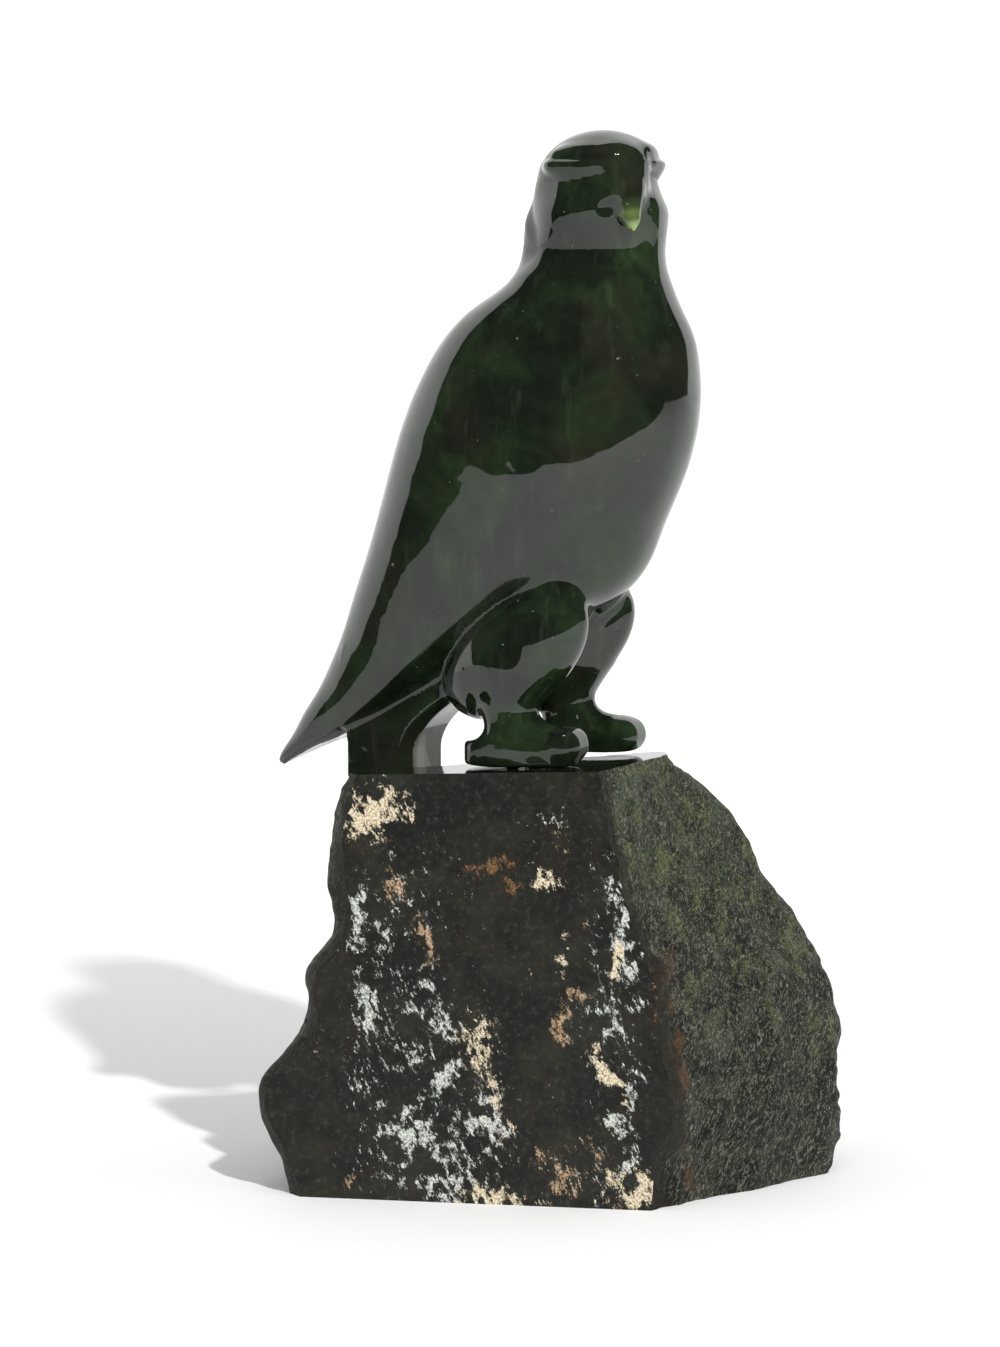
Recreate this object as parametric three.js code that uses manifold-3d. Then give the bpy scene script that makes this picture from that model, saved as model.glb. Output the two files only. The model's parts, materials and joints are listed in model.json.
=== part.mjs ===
// A stylised eagle carved from one piece of dark green jade and polished,
// standing on a boulder of the same stone. The boulder is rough on its sides,
// ground flat in front and underneath, and polished flat on its small top.
// A thin dowel under the near foot shows in the gap above the polished top.
// Millimetres, Z up. X runs to the right and Y away from the viewer, who sees
// the ground front face. The origin is under the middle of the whole work.

import * as THREE from 'three';
import Module from 'manifold-3d';
import { mergeVertices } from 'three/addons/utils/BufferGeometryUtils.js';

const wasm = await Module();
wasm.setup();

// Driving dimensions of the boulder
const BASE_HEIGHT = 119;            // to the polished top under the feet
const TOP_TILT = 2.1;               // degrees, the polished top rises to the right
const FRONT_YAW = 12;               // degrees, the front face turns its right end forward
const FRONT_LEAN = 1.9;             // degrees, the front face leans back
const FRONT_CORNER = [8, -44.4];    // where the front face's top edge meets the mossy right face
const REAR_EDGE = [11.4, -4.2];     // a point on the far edge of the polished top
const REAR_YAW = 16;                // degrees, that edge turns its right end back
const REAR_SLOPE = 36;              // degrees, the rough slope behind it
const ARRIS = 5;                    // rounding of the boulder's rough edges
const BLUNT = 4;                    // the blunted left end of the front face
const SPARE = 8;                    // rough stone past the sawn faces before they are cut

// Driving dimensions of the eagle
const EAGLE_PLACE = [-5.85, -10.5]; // midway between the two ankles
const EAGLE_YAW = 24;               // degrees that the body turns towards the viewer
const HEAD_TURN = 39;               // degrees that the head turns further
const EYE_HEIGHT = 162;             // above the polished top
const HEAD_FORWARD = 18;            // the head's axis in front of the ankles
const THROAT_DEPTH = 3.3;
const BEAK_ASIDE = 1.3;             // the beak sits this far to the viewer's side of that axis
const FOOT_SPREAD = 15.6;           // from the middle to each ankle
const FOOT_STAGGER = 2;             // the far foot stands this much ahead
const ANKLE_RADIUS = 6.6;
const SOLE_GAP = [0.45, 1.05];      // near and far sole above the polished top
const SOLE_THICKNESS = 6.6;
const TAIL_FRONT = -33.5;
const TAIL_BACK = -53.5;
const TAIL_HALF_WIDTH = 12;
const TAIL_END = -6.5;              // hangs a little below the polished top, behind it
const TAIL_TOP = 30;                // inside the body
const ROLL_STEEPNESS = 1.15;        // of the wings' underside, below their edge

// Driving dimensions of the dowel
const PIN_DIAMETER = 3;
const PIN_AHEAD = -0.9;
const PIN_IN_FOOT = 6;
const PIN_IN_BASE = 8;
const PIN_CLEARANCE = 0.3;

const radians = Math.PI / 180;
const clamp = (x, low, high) => Math.min(Math.max(x, low), high);

// A smooth curve through a few values: rows of [place, value].
function curve(rows) {
  const xs = rows.map((row) => row[0]);
  const ys = rows.map((row) => row[1]);
  const last = xs.length - 1;
  const bend = new Array(last + 1).fill(0);
  const carry = new Array(last + 1).fill(0);
  for (let i = 1; i < last; i += 1) {
    const before = xs[i] - xs[i - 1];
    const after = xs[i + 1] - xs[i];
    const share = before / (before + after);
    const turn = (ys[i + 1] - ys[i]) / after - (ys[i] - ys[i - 1]) / before;
    const pivot = share * bend[i - 1] + 2;
    bend[i] = (share - 1) / pivot;
    carry[i] = (6 * turn / (before + after) - share * carry[i - 1]) / pivot;
  }
  const second = new Array(last + 1).fill(0);
  for (let i = last - 1; i > 0; i -= 1) second[i] = bend[i] * second[i + 1] + carry[i];
  return (x) => {
    const at = clamp(x, xs[0], xs[last]);
    let k = 0;
    while (k < last - 1 && at > xs[k + 1]) k += 1;
    const h = xs[k + 1] - xs[k];
    const a = (xs[k + 1] - at) / h;
    const b = 1 - a;
    return a * ys[k] + b * ys[k + 1]
      + ((a ** 3 - a) * second[k] + (b ** 3 - b) * second[k + 1]) * h * h / 6;
  };
}

// Solids are written as signed distances: below zero is inside.
// Two of them meet in a fillet of the given width.
function join(a, b, fillet) {
  const h = clamp(0.5 + 0.5 * (b - a) / fillet, 0, 1);
  return b + (a - b) * h - fillet * h * (1 - h);
}
const common = (a, b, fillet) => -join(-a, -b, fillet);
const cutBy = (a, b, fillet) => common(a, -b, fillet);

function ramp(x, from, to) {
  const t = clamp((x - from) / (to - from), 0, 1);
  return t * t * (3 - 2 * t);
}

// An ellipsoid, its front tipped up and turned aside by so many degrees.
function ellipsoid(p, centre, size, tip = 0, turn = 0) {
  const [cosTip, sinTip] = [Math.cos(tip * radians), Math.sin(tip * radians)];
  const [cosTurn, sinTurn] = [Math.cos(turn * radians), Math.sin(turn * radians)];
  const [x, y, z] = p.map((value, axis) => value - centre[axis]);
  const ahead = x * cosTurn + y * sinTurn;
  const d = [ahead * cosTip + z * sinTip, y * cosTurn - x * sinTurn, z * cosTip - ahead * sinTip];
  const near = Math.hypot(d[0] / size[0], d[1] / size[1], d[2] / size[2]);
  const steep = Math.hypot(d[0] / size[0] ** 2, d[1] / size[1] ** 2, d[2] / size[2] ** 2);
  return near * (near - 1) / Math.max(steep, 1e-9);
}

// A round bar from one point to another, thicker at one end, narrowed sideways.
function bar(p, from, to, radiusFrom, radiusTo, narrow = 1) {
  const ax = to[0] - from[0];
  const ay = (to[1] - from[1]) / narrow;
  const az = to[2] - from[2];
  const px = p[0] - from[0];
  const py = (p[1] - from[1]) / narrow;
  const pz = p[2] - from[2];
  const t = clamp((px * ax + py * ay + pz * az) / (ax * ax + ay * ay + az * az), 0, 1);
  return Math.hypot(px - t * ax, py - t * ay, pz - t * az) - radiusFrom - (radiusTo - radiusFrom) * t;
}

// The eagle's own frame: u forward along the body, v to its left and away from
// the viewer, w up from the polished top midway between the ankles.
// Sections of the body, neck and folded wings: height, middle, half length, half width.
const SECTIONS = [
  [-5.0, -78.0, 2.4, 1.7],
  [-1.4, -72.4, 6.5, 5.0],
  [3.2, -63.0, 12.5, 9.0],
  [10.2, -50.0, 21.2, 14.0],
  [17.2, -40.0, 26.4, 17.0],
  [24.2, -29.0, 33.7, 19.8],
  [33.4, -19.5, 39.0, 22.5],
  [43.0, -13.5, 41.5, 25.0],
  [61.0, -7.2, 41.2, 28.5],
  [78.0, -1.1, 42.1, 30.8],
  [94.0, 3.7, 41.7, 31.6],
  [111.0, 7.8, 37.9, 28.4],
  [119.0, 9.7, 34.2, 25.9],
  [126.0, 12.0, 28.5, 23.4],
  [132.0, 15.1, 22.8, 21.2],
  [138.0, 16.2, 20.0, 19.3],
  [148.0, 17.0, 19.3, 21.3],
  [158.0, 18.0, 18.2, 24.0],
  [166.0, 18.6, 17.0, 24.4],
];
const SQUARENESS = 2.15;
const CROWN = 178;
const middle = curve(SECTIONS.map((row) => [row[0], row[1]]));
const halfLength = curve(SECTIONS.map((row) => [row[0], row[2]]));
const halfWidth = curve(SECTIONS.map((row) => [row[0], row[3]]));

// The lower edge of the folded wings, from the wing tips forward to the belly.
const wingEdge = curve([
  [-84.0, -8.8], [-78.8, -5.8], [-72.0, -2.2], [-66.0, 0.8], [-60.0, 3.8], [-56.0, 6.4],
  [-32.0, 25.6], [-16.0, 38.6], [-6.0, 46.6], [1.5, 52.0], [10.0, 53.5], [45.0, 51.0],
]);

function bodyColumn(p) {
  const du = p[0] - middle(p[2]);
  const along = Math.abs(du) / halfLength(p[2]);
  const across = Math.abs(p[1]) / halfWidth(p[2]);
  const share = (along ** SQUARENESS + across ** SQUARENESS) ** (1 / SQUARENESS);
  return Math.hypot(du, p[1]) * (1 - 1 / Math.max(share, 1e-6));
}

// A crease: the stone draws in towards a line from above, and comes out again below it.
function carvedIn(height, depth, rise, fall) {
  if (height > 0) return depth * Math.max(1 - height / rise, 0) ** 1.3;
  return depth * (1 - ramp(-height, 0, fall));
}

// The throat draws in from the jaw downwards, and comes out again at the foot of the neck.
function throatDepth(hw) {
  return THROAT_DEPTH * Math.min(clamp((-hw - 0.5) / 19.5, 0, 1), 1 - ramp(-hw, 20, 28));
}

// The head: domed crown, brow ridges over two creases, and a hooked beak.
function withHead(body, p) {
  const c = Math.cos(HEAD_TURN * radians);
  const s = Math.sin(HEAD_TURN * radians);
  const hu = (p[0] - HEAD_FORWARD) * c - p[1] * s;
  const hv = (p[0] - HEAD_FORWARD) * s + p[1] * c;
  const hw = p[2] - EYE_HEIGHT;
  if (hw < -28) return body;
  const dome = ellipsoid([hu, hv, Math.max(hw, -5)], [1.6, 0.5, -5], [22, 18.9, 17.2]);
  const throat = ramp(hu - hv, 4, 16);
  let head = body + throat * throatDepth(hw);
  head = common(head, dome - 0.08 * Math.max(-5 - 9 * throat - hw, 0) ** 2, 3);
  const q = [hu, Math.abs(hv), hw];
  head = join(head, bar(q, [3, 14.4, 3.4], [13, 7.2, 3.4], 3, 3), 4);
  const beak = [hu, hv + BEAK_ASIDE, hw];
  const slim = 0.88;
  const root = join(
    bar(beak, [6, 0, -2], [14.5, 0, 0], 8.5, 6.3, slim),
    bar(beak, [14.5, 0, 0], [17.8, 0, -4], 6.3, 5, slim),
    2.5,
  );
  head = join(head, root, 5);
  const aside = ramp(q[1], 5, 9) * ramp(q[0], -12, 4);
  const cheekLine = 2.7 - 0.3 * q[1];
  head += aside * carvedIn(hw - cheekLine, 2.5, 4.8, 9);
  head += aside * carvedIn(hw - 4.6, 1.1, 3.4, 1.6);
  head = cutBy(head, ellipsoid(q, [21.2, 8, -8.9], [3.2, 2.8, 2]), 2.4);
  let hook = bar(beak, [17.8, 0, -4], [18.9, 0, -8], 5, 4.2, slim);
  hook = join(hook, bar(beak, [18.9, 0, -8], [20.8, 0, -11.6], 4.2, 2.9, slim), 1);
  hook = join(hook, bar(beak, [20.8, 0, -11.6], [22.6, 0, -14.6], 2.9, 0.6, slim), 0.8);
  return join(head, hook, 1.6);
}

// The wings end in a crisp edge and roll in under it; the belly rounds off in front.
function withUnderside(body, p) {
  const arch = 2.5 * clamp(1 - (p[1] / 18) ** 2, 0, 1) * ramp(-p[0], 5, 30);
  const roll = clamp(2.6 + 0.145 * (p[0] + 56), 1.5, 9);
  const below = (wingEdge(p[0]) + arch - p[2] + ROLL_STEEPNESS * Math.max(body, -roll))
    / Math.hypot(1, ROLL_STEEPNESS);
  const crisp = common(body, below, 0.6);
  return crisp + (common(body, below, 7) - crisp) * ramp(p[0], 2, 14);
}

function leg(p, side) {
  const ahead = FOOT_STAGGER * side;
  const q = [p[0] - ahead, p[1] - FOOT_SPREAD * side, p[2]];
  const thigh = ellipsoid(q, [-1 - ahead, -2.5 * side, 31.5], [26, 12.5, 15.5], 36, 12 * side);
  let limb = join(thigh, bar(q, [1.5, 0, 27], [0, 0, 15.5], 10.5, ANKLE_RADIUS), 4);
  limb = join(limb, bar(q, [0, 0, 16], [0, 0, 5], ANKLE_RADIUS, ANKLE_RADIUS), 2);
  const plan = Math.hypot(Math.max(Math.abs(q[0] - 3.7) - 9.7, 0), q[1]) - 6.8;
  const slab = common(plan, Math.abs(q[2] - SOLE_THICKNESS / 2) - SOLE_THICKNESS / 2, 1.5);
  const instep = bar(q, [4, 0, 7], [15.5, 0, 6.3], 6.2, 5.4);
  const toe = bar(q, [17.6, -2.4, 6.3], [17.6, 2.4, 6.3], 4.9, 4.9);
  const foot = join(join(instep, toe, 1.5), slab, 2);
  return join(limb, foot, 6);
}

// A short square tail under the wings, flaring forward where it meets them.
function tail(p) {
  const front = TAIL_FRONT + 0.05 * clamp(p[2] - 1, 0, 22) ** 2;
  const out = Math.abs(p[1]) - TAIL_HALF_WIDTH;
  const length = common(p[0] - front, TAIL_BACK - p[0], 1);
  const corner = (out + p[0] - front + 3.2) * Math.SQRT1_2;
  const ends = common(p[2] - TAIL_TOP, TAIL_END - p[2], 0.8);
  return common(common(common(length, out, 0.8), corner, 0.8), ends, 0.8);
}

// The stone between the thighs is left standing, up to the belly.
function eagleField(p) {
  let body = common(bodyColumn(p), p[2] - CROWN, 2);
  body = withHead(body, p);
  body = withUnderside(body, p);
  body = join(body, bar(p, [-11, 0, 33], [9, 0, 44], 5.5, 6), 2);
  for (const side of [-1, 1]) body = join(body, leg(p, side), 1 + 6 * ramp(p[0], 0, 14));
  return join(body, tail(p), 2);
}

function slopeOf(field, p) {
  const step = 0.02;
  return [0, 1, 2].map((axis) => {
    const ahead = [...p];
    const behind = [...p];
    ahead[axis] += step;
    behind[axis] -= step;
    return (field(ahead) - field(behind)) / (2 * step);
  });
}

// Moves a point onto the surface along the field's slope.
function settle(field, p, reach) {
  for (let turn = 0; turn < 3; turn += 1) {
    const slope = slopeOf(field, p);
    const steep = Math.max(slope[0] ** 2 + slope[1] ** 2 + slope[2] ** 2, 0.05);
    const distance = field(p);
    const length = Math.abs(distance) / Math.sqrt(steep);
    const share = Math.min(1, reach / Math.max(length, 1e-9));
    p = p.map((value, axis) => value - share * distance * slope[axis] / steep);
  }
  return p;
}

// Fills a fold narrower than one lattice cell, where two sheets of skin would share an edge.
function fillPinches(values, counts, key) {
  const steps = [key(1, 0, 0), key(0, 1, 0), key(0, 0, 1)];
  const pairs = [[0, 1], [0, 2], [1, 2]];
  let filled = 1;
  while (filled > 0) {
    filled = 0;
    for (const [first, second] of pairs) {
      const last = counts.map((count, axis) => count - (axis === first || axis === second ? 1 : 0));
      for (let i = 0; i <= last[0]; i += 1) {
        for (let j = 0; j <= last[1]; j += 1) {
          for (let k = 0; k <= last[2]; k += 1) {
            const a = key(i, j, k);
            const square = [a, a + steps[first], a + steps[first] + steps[second], a + steps[second]];
            const [p, q, r, s] = square.map((corner) => values[corner] < 0);
            if (p !== r || q !== s || p === q) continue;
            const open = square.filter((corner) => values[corner] >= 0);
            open.sort((one, other) => values[one] - values[other]);
            values[open[0]] = -1e-3;
            filled += 1;
          }
        }
      }
    }
  }
}

// A closed faceted skin around a field, on a lattice whose cells follow the form:
// one corner in each cell that the surface crosses, one quad for each crossed edge.
function skin(field, place, counts, reach) {
  const [nu, nv, nw] = counts;
  const key = (i, j, k) => (i * (nv + 1) + j) * (nw + 1) + k;
  const points = [];
  const values = new Float64Array((nu + 1) * (nv + 1) * (nw + 1));
  for (let i = 0; i <= nu; i += 1) {
    for (let j = 0; j <= nv; j += 1) {
      for (let k = 0; k <= nw; k += 1) {
        points[key(i, j, k)] = place(i, j, k);
        values[key(i, j, k)] = field(points[key(i, j, k)]);
      }
    }
  }
  fillPinches(values, counts, key);
  const corners = new Map();
  const positions = [];
  function cornerOf(i, j, k) {
    const cell = key(i, j, k);
    if (corners.has(cell)) return corners.get(cell);
    const sum = [0, 0, 0];
    let crossings = 0;
    for (let a = 0; a < 8; a += 1) {
      for (const bit of [1, 2, 4]) {
        if (a & bit) continue;
        const b = a | bit;
        const ka = key(i + (a & 1), j + ((a >> 1) & 1), k + (a >> 2));
        const kb = key(i + (b & 1), j + ((b >> 1) & 1), k + (b >> 2));
        if (values[ka] < 0 === values[kb] < 0) continue;
        const t = values[ka] / (values[ka] - values[kb]);
        for (let n = 0; n < 3; n += 1) sum[n] += points[ka][n] + (points[kb][n] - points[ka][n]) * t;
        crossings += 1;
      }
    }
    const start = sum.map((value) => value / crossings);
    positions.push(...settle(field, start, reach));
    corners.set(cell, positions.length / 3 - 1);
    return corners.get(cell);
  }
  const index = [];
  const around = [
    [[0, -1, -1], [0, 0, -1], [0, 0, 0], [0, -1, 0]],
    [[-1, 0, -1], [-1, 0, 0], [0, 0, 0], [0, 0, -1]],
    [[-1, -1, 0], [0, -1, 0], [0, 0, 0], [-1, 0, 0]],
  ];
  for (let i = 0; i < nu; i += 1) {
    for (let j = 0; j < nv; j += 1) {
      for (let k = 0; k < nw; k += 1) {
        for (let axis = 0; axis < 3; axis += 1) {
          const next = [i, j, k];
          if (next.some((at, other) => at === 0 && other !== axis)) continue;
          next[axis] += 1;
          const inside = values[key(i, j, k)] < 0;
          if (inside === values[key(...next)] < 0) continue;
          const ring = around[axis].map((s) => cornerOf(i + s[0], j + s[1], k + s[2]));
          if (!inside) ring.reverse();
          index.push(ring[0], ring[1], ring[2], ring[0], ring[2], ring[3]);
        }
      }
    }
  }
  const geometry = new THREE.BufferGeometry();
  geometry.setAttribute('position', new THREE.Float32BufferAttribute(positions, 3));
  geometry.setIndex(index);
  return geometry;
}

function toSolid(geometry) {
  const bare = geometry.clone();
  for (const name of ['normal', 'uv']) bare.deleteAttribute(name);
  const merged = mergeVertices(bare, 1e-4);
  return new wasm.Manifold(new wasm.Mesh({
    numProp: 3,
    vertProperties: new Float32Array(merged.attributes.position.array),
    triVerts: new Uint32Array(merged.index.array),
  }));
}

function toGeometry(solid) {
  const mesh = solid.getMesh();
  const geometry = new THREE.BufferGeometry();
  geometry.setAttribute('position', new THREE.BufferAttribute(new Float32Array(mesh.vertProperties), 3));
  geometry.setIndex(new THREE.BufferAttribute(new Uint32Array(mesh.triVerts), 1));
  geometry.computeVertexNormals();
  return geometry;
}


// The eagle
const LATTICE = [24, 16, 45];
const latticeHeight = curve([[0, -9.5], [14, 30], [28, 118], [45, 178.5]]);
const latticeMiddle = curve([[-9.5, -27], [30, -22], [60, -6], [110, 7.5], [135, 17], [180, 19]]);
const latticeLength = curve([[-9.5, 59], [30, 54], [60, 46], [110, 42.5], [135, 28], [180, 26]]);
const latticeWidth = curve([[-9.5, 27], [30, 31], [60, 35], [100, 36], [135, 26], [180, 24]]);

// The cells follow the form, and crowd towards the feet in front.
function eagleLattice(i, j, k) {
  const w = latticeHeight(k);
  const s = 2 * i / LATTICE[0] - 1;
  const crowd = 0.16 * (1 - ramp(w, 20, 70));
  return [
    latticeMiddle(w) + latticeLength(w) * (s + crowd * (1 - s * s)),
    latticeWidth(w) * (2 * j / LATTICE[1] - 1),
    w,
  ];
}

const toWorld = new THREE.Matrix4()
  .makeTranslation(EAGLE_PLACE[0], EAGLE_PLACE[1], BASE_HEIGHT)
  .multiply(new THREE.Matrix4().makeRotationZ(-EAGLE_YAW * radians));

// The space under one foot, up to its flat sole.
function underFoot(side, gap) {
  const block = new THREE.BoxGeometry(52, 24, 40);
  block.translate(4, FOOT_SPREAD * side, gap - 20);
  block.rotateZ(-EAGLE_YAW * radians);
  block.rotateY(-TOP_TILT * radians);
  block.translate(EAGLE_PLACE[0], EAGLE_PLACE[1], BASE_HEIGHT);
  return toSolid(block);
}

function pinShape(extra) {
  const length = PIN_IN_FOOT + PIN_IN_BASE + 2 * extra;
  const pin = new THREE.CylinderGeometry(PIN_DIAMETER / 2 + extra, PIN_DIAMETER / 2 + extra, length, 24);
  pin.rotateX(Math.PI / 2);
  pin.translate(PIN_AHEAD, -FOOT_SPREAD, (PIN_IN_FOOT - PIN_IN_BASE) / 2);
  return pin.applyMatrix4(toWorld);
}

function makeEagle() {
  const shape = skin(eagleField, eagleLattice, LATTICE, 1.5).applyMatrix4(toWorld);
  return toSolid(shape)
    .subtract(underFoot(-1, SOLE_GAP[0]))
    .subtract(underFoot(1, SOLE_GAP[1]))
    .subtract(toSolid(pinShape(PIN_CLEARANCE)));
}

// The boulder, by height: its left and right ends as seen from the front, its back,
// and the edge where the front face meets the mossy right face.
const leftEnd = curve([
  [0, -76.2], [8, -78.4], [25, -82.7], [34, -80.2], [46, -72.7], [51, -71.3], [60, -71.3],
  [64, -69.5], [69, -65], [84, -63.2], [105, -63.7], [112, -62], [119, -58],
]);
const rightEnd = curve([
  [0, 77], [6, 81.5], [20, 83], [34, 81.5], [52, 80], [63, 76.9], [76, 67.2], [93, 55.1], [117, 33],
]);
const backEnd = curve([[0, 52], [14, 58], [36, 57], [60, 52], [119, 34]]);
const cornerX = curve([[0, 24.3], [14, 27], [31, 28.3], [47, 27], [63, 24.2], [82, 18.8], [119, 8]]);
const mossyYaw = curve([[0, 47], [60, 50], [119, 57]]);


// The broken sides are uneven, in long soft swells.
function swell(x, y, z) {
  return 1.1 * Math.sin(0.085 * x + 0.05 * z + 1) * Math.sin(0.07 * y - 0.06 * z + 2)
    + 0.7 * Math.sin(0.16 * z + 0.11 * y) * Math.cos(0.13 * x - 0.05 * y);
}

const frontY = (x, z) => FRONT_CORNER[1] - (x - FRONT_CORNER[0]) * Math.tan(FRONT_YAW * radians)
  - (BASE_HEIGHT - z) * Math.tan(FRONT_LEAN * radians);

function boulderField([x, y, z]) {
  const rough = swell(x, y, z);
  const edgeX = cornerX(z);
  const yaw = mossyYaw(z) * radians;
  const mossy = (x - edgeX) * Math.sin(yaw) - (y - frontY(edgeX, z)) * Math.cos(yaw);
  const side = (leftEnd(z) - x) * 0.97 + (y + 22) * 0.24;
  const blunt = (leftEnd(z) + BLUNT - x) * 0.77 + (frontY(leftEnd(z), z) - y) * 0.64;
  const left = common(side, blunt, ARRIS);
  const right = (x - rightEnd(z)) * 0.82 + (y - 5) * 0.26;
  const back = (y - backEnd(z)) * 0.95 - x * 0.12;
  const rearYaw = REAR_YAW * radians;
  const behind = (y - REAR_EDGE[1]) * Math.cos(rearYaw) - (x - REAR_EDGE[0]) * Math.sin(rearYaw);
  const slope = REAR_SLOPE * radians;
  const rear = behind * Math.sin(slope) + (z - BASE_HEIGHT) * Math.cos(slope);
  let d = common(common(left, right, ARRIS), common(back, rear, 2 * ARRIS), 2 * ARRIS);
  d = common(d, mossy, ARRIS) + rough;
  return Math.max(d, frontY(x, z) - y - SPARE, -z - SPARE, z - BASE_HEIGHT - SPARE);
}

const BOULDER_LATTICE = [22, 17, 19];
const boulderLattice = (i, j, k) => [
  -92 + 184 * i / BOULDER_LATTICE[0],
  -72 + 142 * j / BOULDER_LATTICE[1],
  -16 + 152 * k / BOULDER_LATTICE[2],
];

// The stone is sawn: a flat underside, a flat front and a flat polished top.
function sawnBlock() {
  const top = new THREE.BoxGeometry(400, 400, 400);
  top.translate(0, 0, -200).rotateY(-TOP_TILT * radians);
  top.translate(EAGLE_PLACE[0], EAGLE_PLACE[1], BASE_HEIGHT);
  const front = new THREE.BoxGeometry(400, 400, 600);
  front.translate(0, 200, 0).rotateX(-FRONT_LEAN * radians).rotateZ(-FRONT_YAW * radians);
  front.translate(FRONT_CORNER[0], FRONT_CORNER[1], BASE_HEIGHT);
  const underside = new THREE.BoxGeometry(400, 400, 400);
  underside.translate(0, 0, 200);
  return toSolid(top).intersect(toSolid(front)).intersect(toSolid(underside));
}

function makeBoulder() {
  const rough = skin(boulderField, boulderLattice, BOULDER_LATTICE, 3);
  return toSolid(rough).intersect(sawnBlock()).subtract(toSolid(pinShape(PIN_CLEARANCE)));
}

const jade = new THREE.MeshStandardMaterial({ color: '#243023', roughness: 0.05, metalness: 0 });
const rind = new THREE.MeshStandardMaterial({ color: '#3b3d38', roughness: 0.6, metalness: 0 });
const darkSteel = new THREE.MeshStandardMaterial({ color: '#2a2a2b', roughness: 0.4, metalness: 1 });

const model = new THREE.Group();
for (const [name, geometry, material] of [
  ['eagle', toGeometry(makeEagle()), jade],
  ['boulder_base', toGeometry(makeBoulder()), rind],
  ['foot_pin', pinShape(0), darkSteel],
]) {
  const mesh = new THREE.Mesh(geometry, material);
  mesh.name = name;
  model.add(mesh);
}

// The origin goes to the floor under the middle of the whole work.
const extent = new THREE.Box3().setFromObject(model, true);
model.position.set(-(extent.min.x + extent.max.x) / 2, -(extent.min.y + extent.max.y) / 2, 0);

export default model;
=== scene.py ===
# %% [markdown]
# # A jade eagle on its boulder
#
# The object is a stylised eagle, carved from one piece of dark green jade and
# polished like glass. It stands on a boulder of the same stone, whose front is
# ground flat and whose small top is polished, while the other sides keep their
# rough mossy skin. This script dresses the bare solids with that stone.
#
# It starts by loading the solids.

# %% Load the solids
import json
import math

import bmesh
import bpy
import numpy as np
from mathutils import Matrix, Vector

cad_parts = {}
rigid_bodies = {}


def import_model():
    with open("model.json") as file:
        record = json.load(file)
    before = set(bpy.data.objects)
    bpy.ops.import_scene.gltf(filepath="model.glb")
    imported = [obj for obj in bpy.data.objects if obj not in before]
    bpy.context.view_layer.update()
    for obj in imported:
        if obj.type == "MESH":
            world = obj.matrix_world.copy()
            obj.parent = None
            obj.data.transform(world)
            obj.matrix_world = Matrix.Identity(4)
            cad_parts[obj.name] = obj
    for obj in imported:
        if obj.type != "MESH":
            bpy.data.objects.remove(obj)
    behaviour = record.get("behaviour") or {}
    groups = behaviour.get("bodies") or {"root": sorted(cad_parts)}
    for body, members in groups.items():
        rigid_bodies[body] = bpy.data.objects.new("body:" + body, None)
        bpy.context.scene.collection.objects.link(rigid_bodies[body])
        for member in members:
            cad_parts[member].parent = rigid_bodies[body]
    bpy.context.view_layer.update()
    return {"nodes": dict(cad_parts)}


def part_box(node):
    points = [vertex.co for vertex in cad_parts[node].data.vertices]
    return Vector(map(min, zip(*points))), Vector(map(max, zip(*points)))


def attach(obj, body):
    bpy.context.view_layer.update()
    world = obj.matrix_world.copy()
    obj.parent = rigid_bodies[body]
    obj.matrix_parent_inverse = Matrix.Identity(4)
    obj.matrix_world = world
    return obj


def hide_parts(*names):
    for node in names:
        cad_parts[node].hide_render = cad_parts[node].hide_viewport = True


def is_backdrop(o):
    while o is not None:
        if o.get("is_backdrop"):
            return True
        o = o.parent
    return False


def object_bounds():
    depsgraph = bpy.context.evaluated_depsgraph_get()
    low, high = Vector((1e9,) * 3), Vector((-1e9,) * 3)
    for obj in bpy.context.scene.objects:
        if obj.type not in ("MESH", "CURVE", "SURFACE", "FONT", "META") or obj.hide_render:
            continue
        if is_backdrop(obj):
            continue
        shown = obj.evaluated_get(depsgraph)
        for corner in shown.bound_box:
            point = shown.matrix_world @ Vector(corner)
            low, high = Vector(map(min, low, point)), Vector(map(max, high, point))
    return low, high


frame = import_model()
MM = 0.001

# %% [markdown]
# Everything below is drawn in millimetres, in the carving's own frame: X to the
# viewer's right, Y away from the viewer, Z up. The eagle has a frame of its own
# inside that one: u forward along its body, v to its left, and w up from the
# polished top. The dowel under the near foot ties these frames to the loaded
# solids, because its place is known in both.

# %% Frames
EAGLE_PLACE = (-5.85, -10.5)
EAGLE_YAW = math.radians(24)
BASE_HEIGHT = 119.0
FOOT_SPREAD = 15.6
FOOT_STAGGER = 2.0
PIN_AHEAD = -0.9
PIN_DIAMETER = 3.0
PIN_IN_FOOT = 6.0
PIN_IN_BASE = 8.0
PIN_CLEARANCE = 0.3


def carving_xyz(u, v, w):
    """The carving's X, Y and Z of a place given in the eagle's frame."""
    c, s = math.cos(EAGLE_YAW), math.sin(EAGLE_YAW)
    return EAGLE_PLACE[0] + u * c + v * s, EAGLE_PLACE[1] - u * s + v * c, BASE_HEIGHT + w


pin_low, pin_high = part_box("foot_pin")
pin_x, pin_y, _ = carving_xyz(PIN_AHEAD, -FOOT_SPREAD, 0)
shift = np.array([
    (pin_low[0] + pin_high[0]) / 2 - pin_x * MM,
    (pin_low[1] + pin_high[1]) / 2 - pin_y * MM,
    0.0,
])


def to_scene(points):
    """Points in the carving's millimetres, as metres in the scene."""
    return np.asarray(points, float) * MM + shift


print("carving moved by mm:", np.round(shift / MM, 2))

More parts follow.
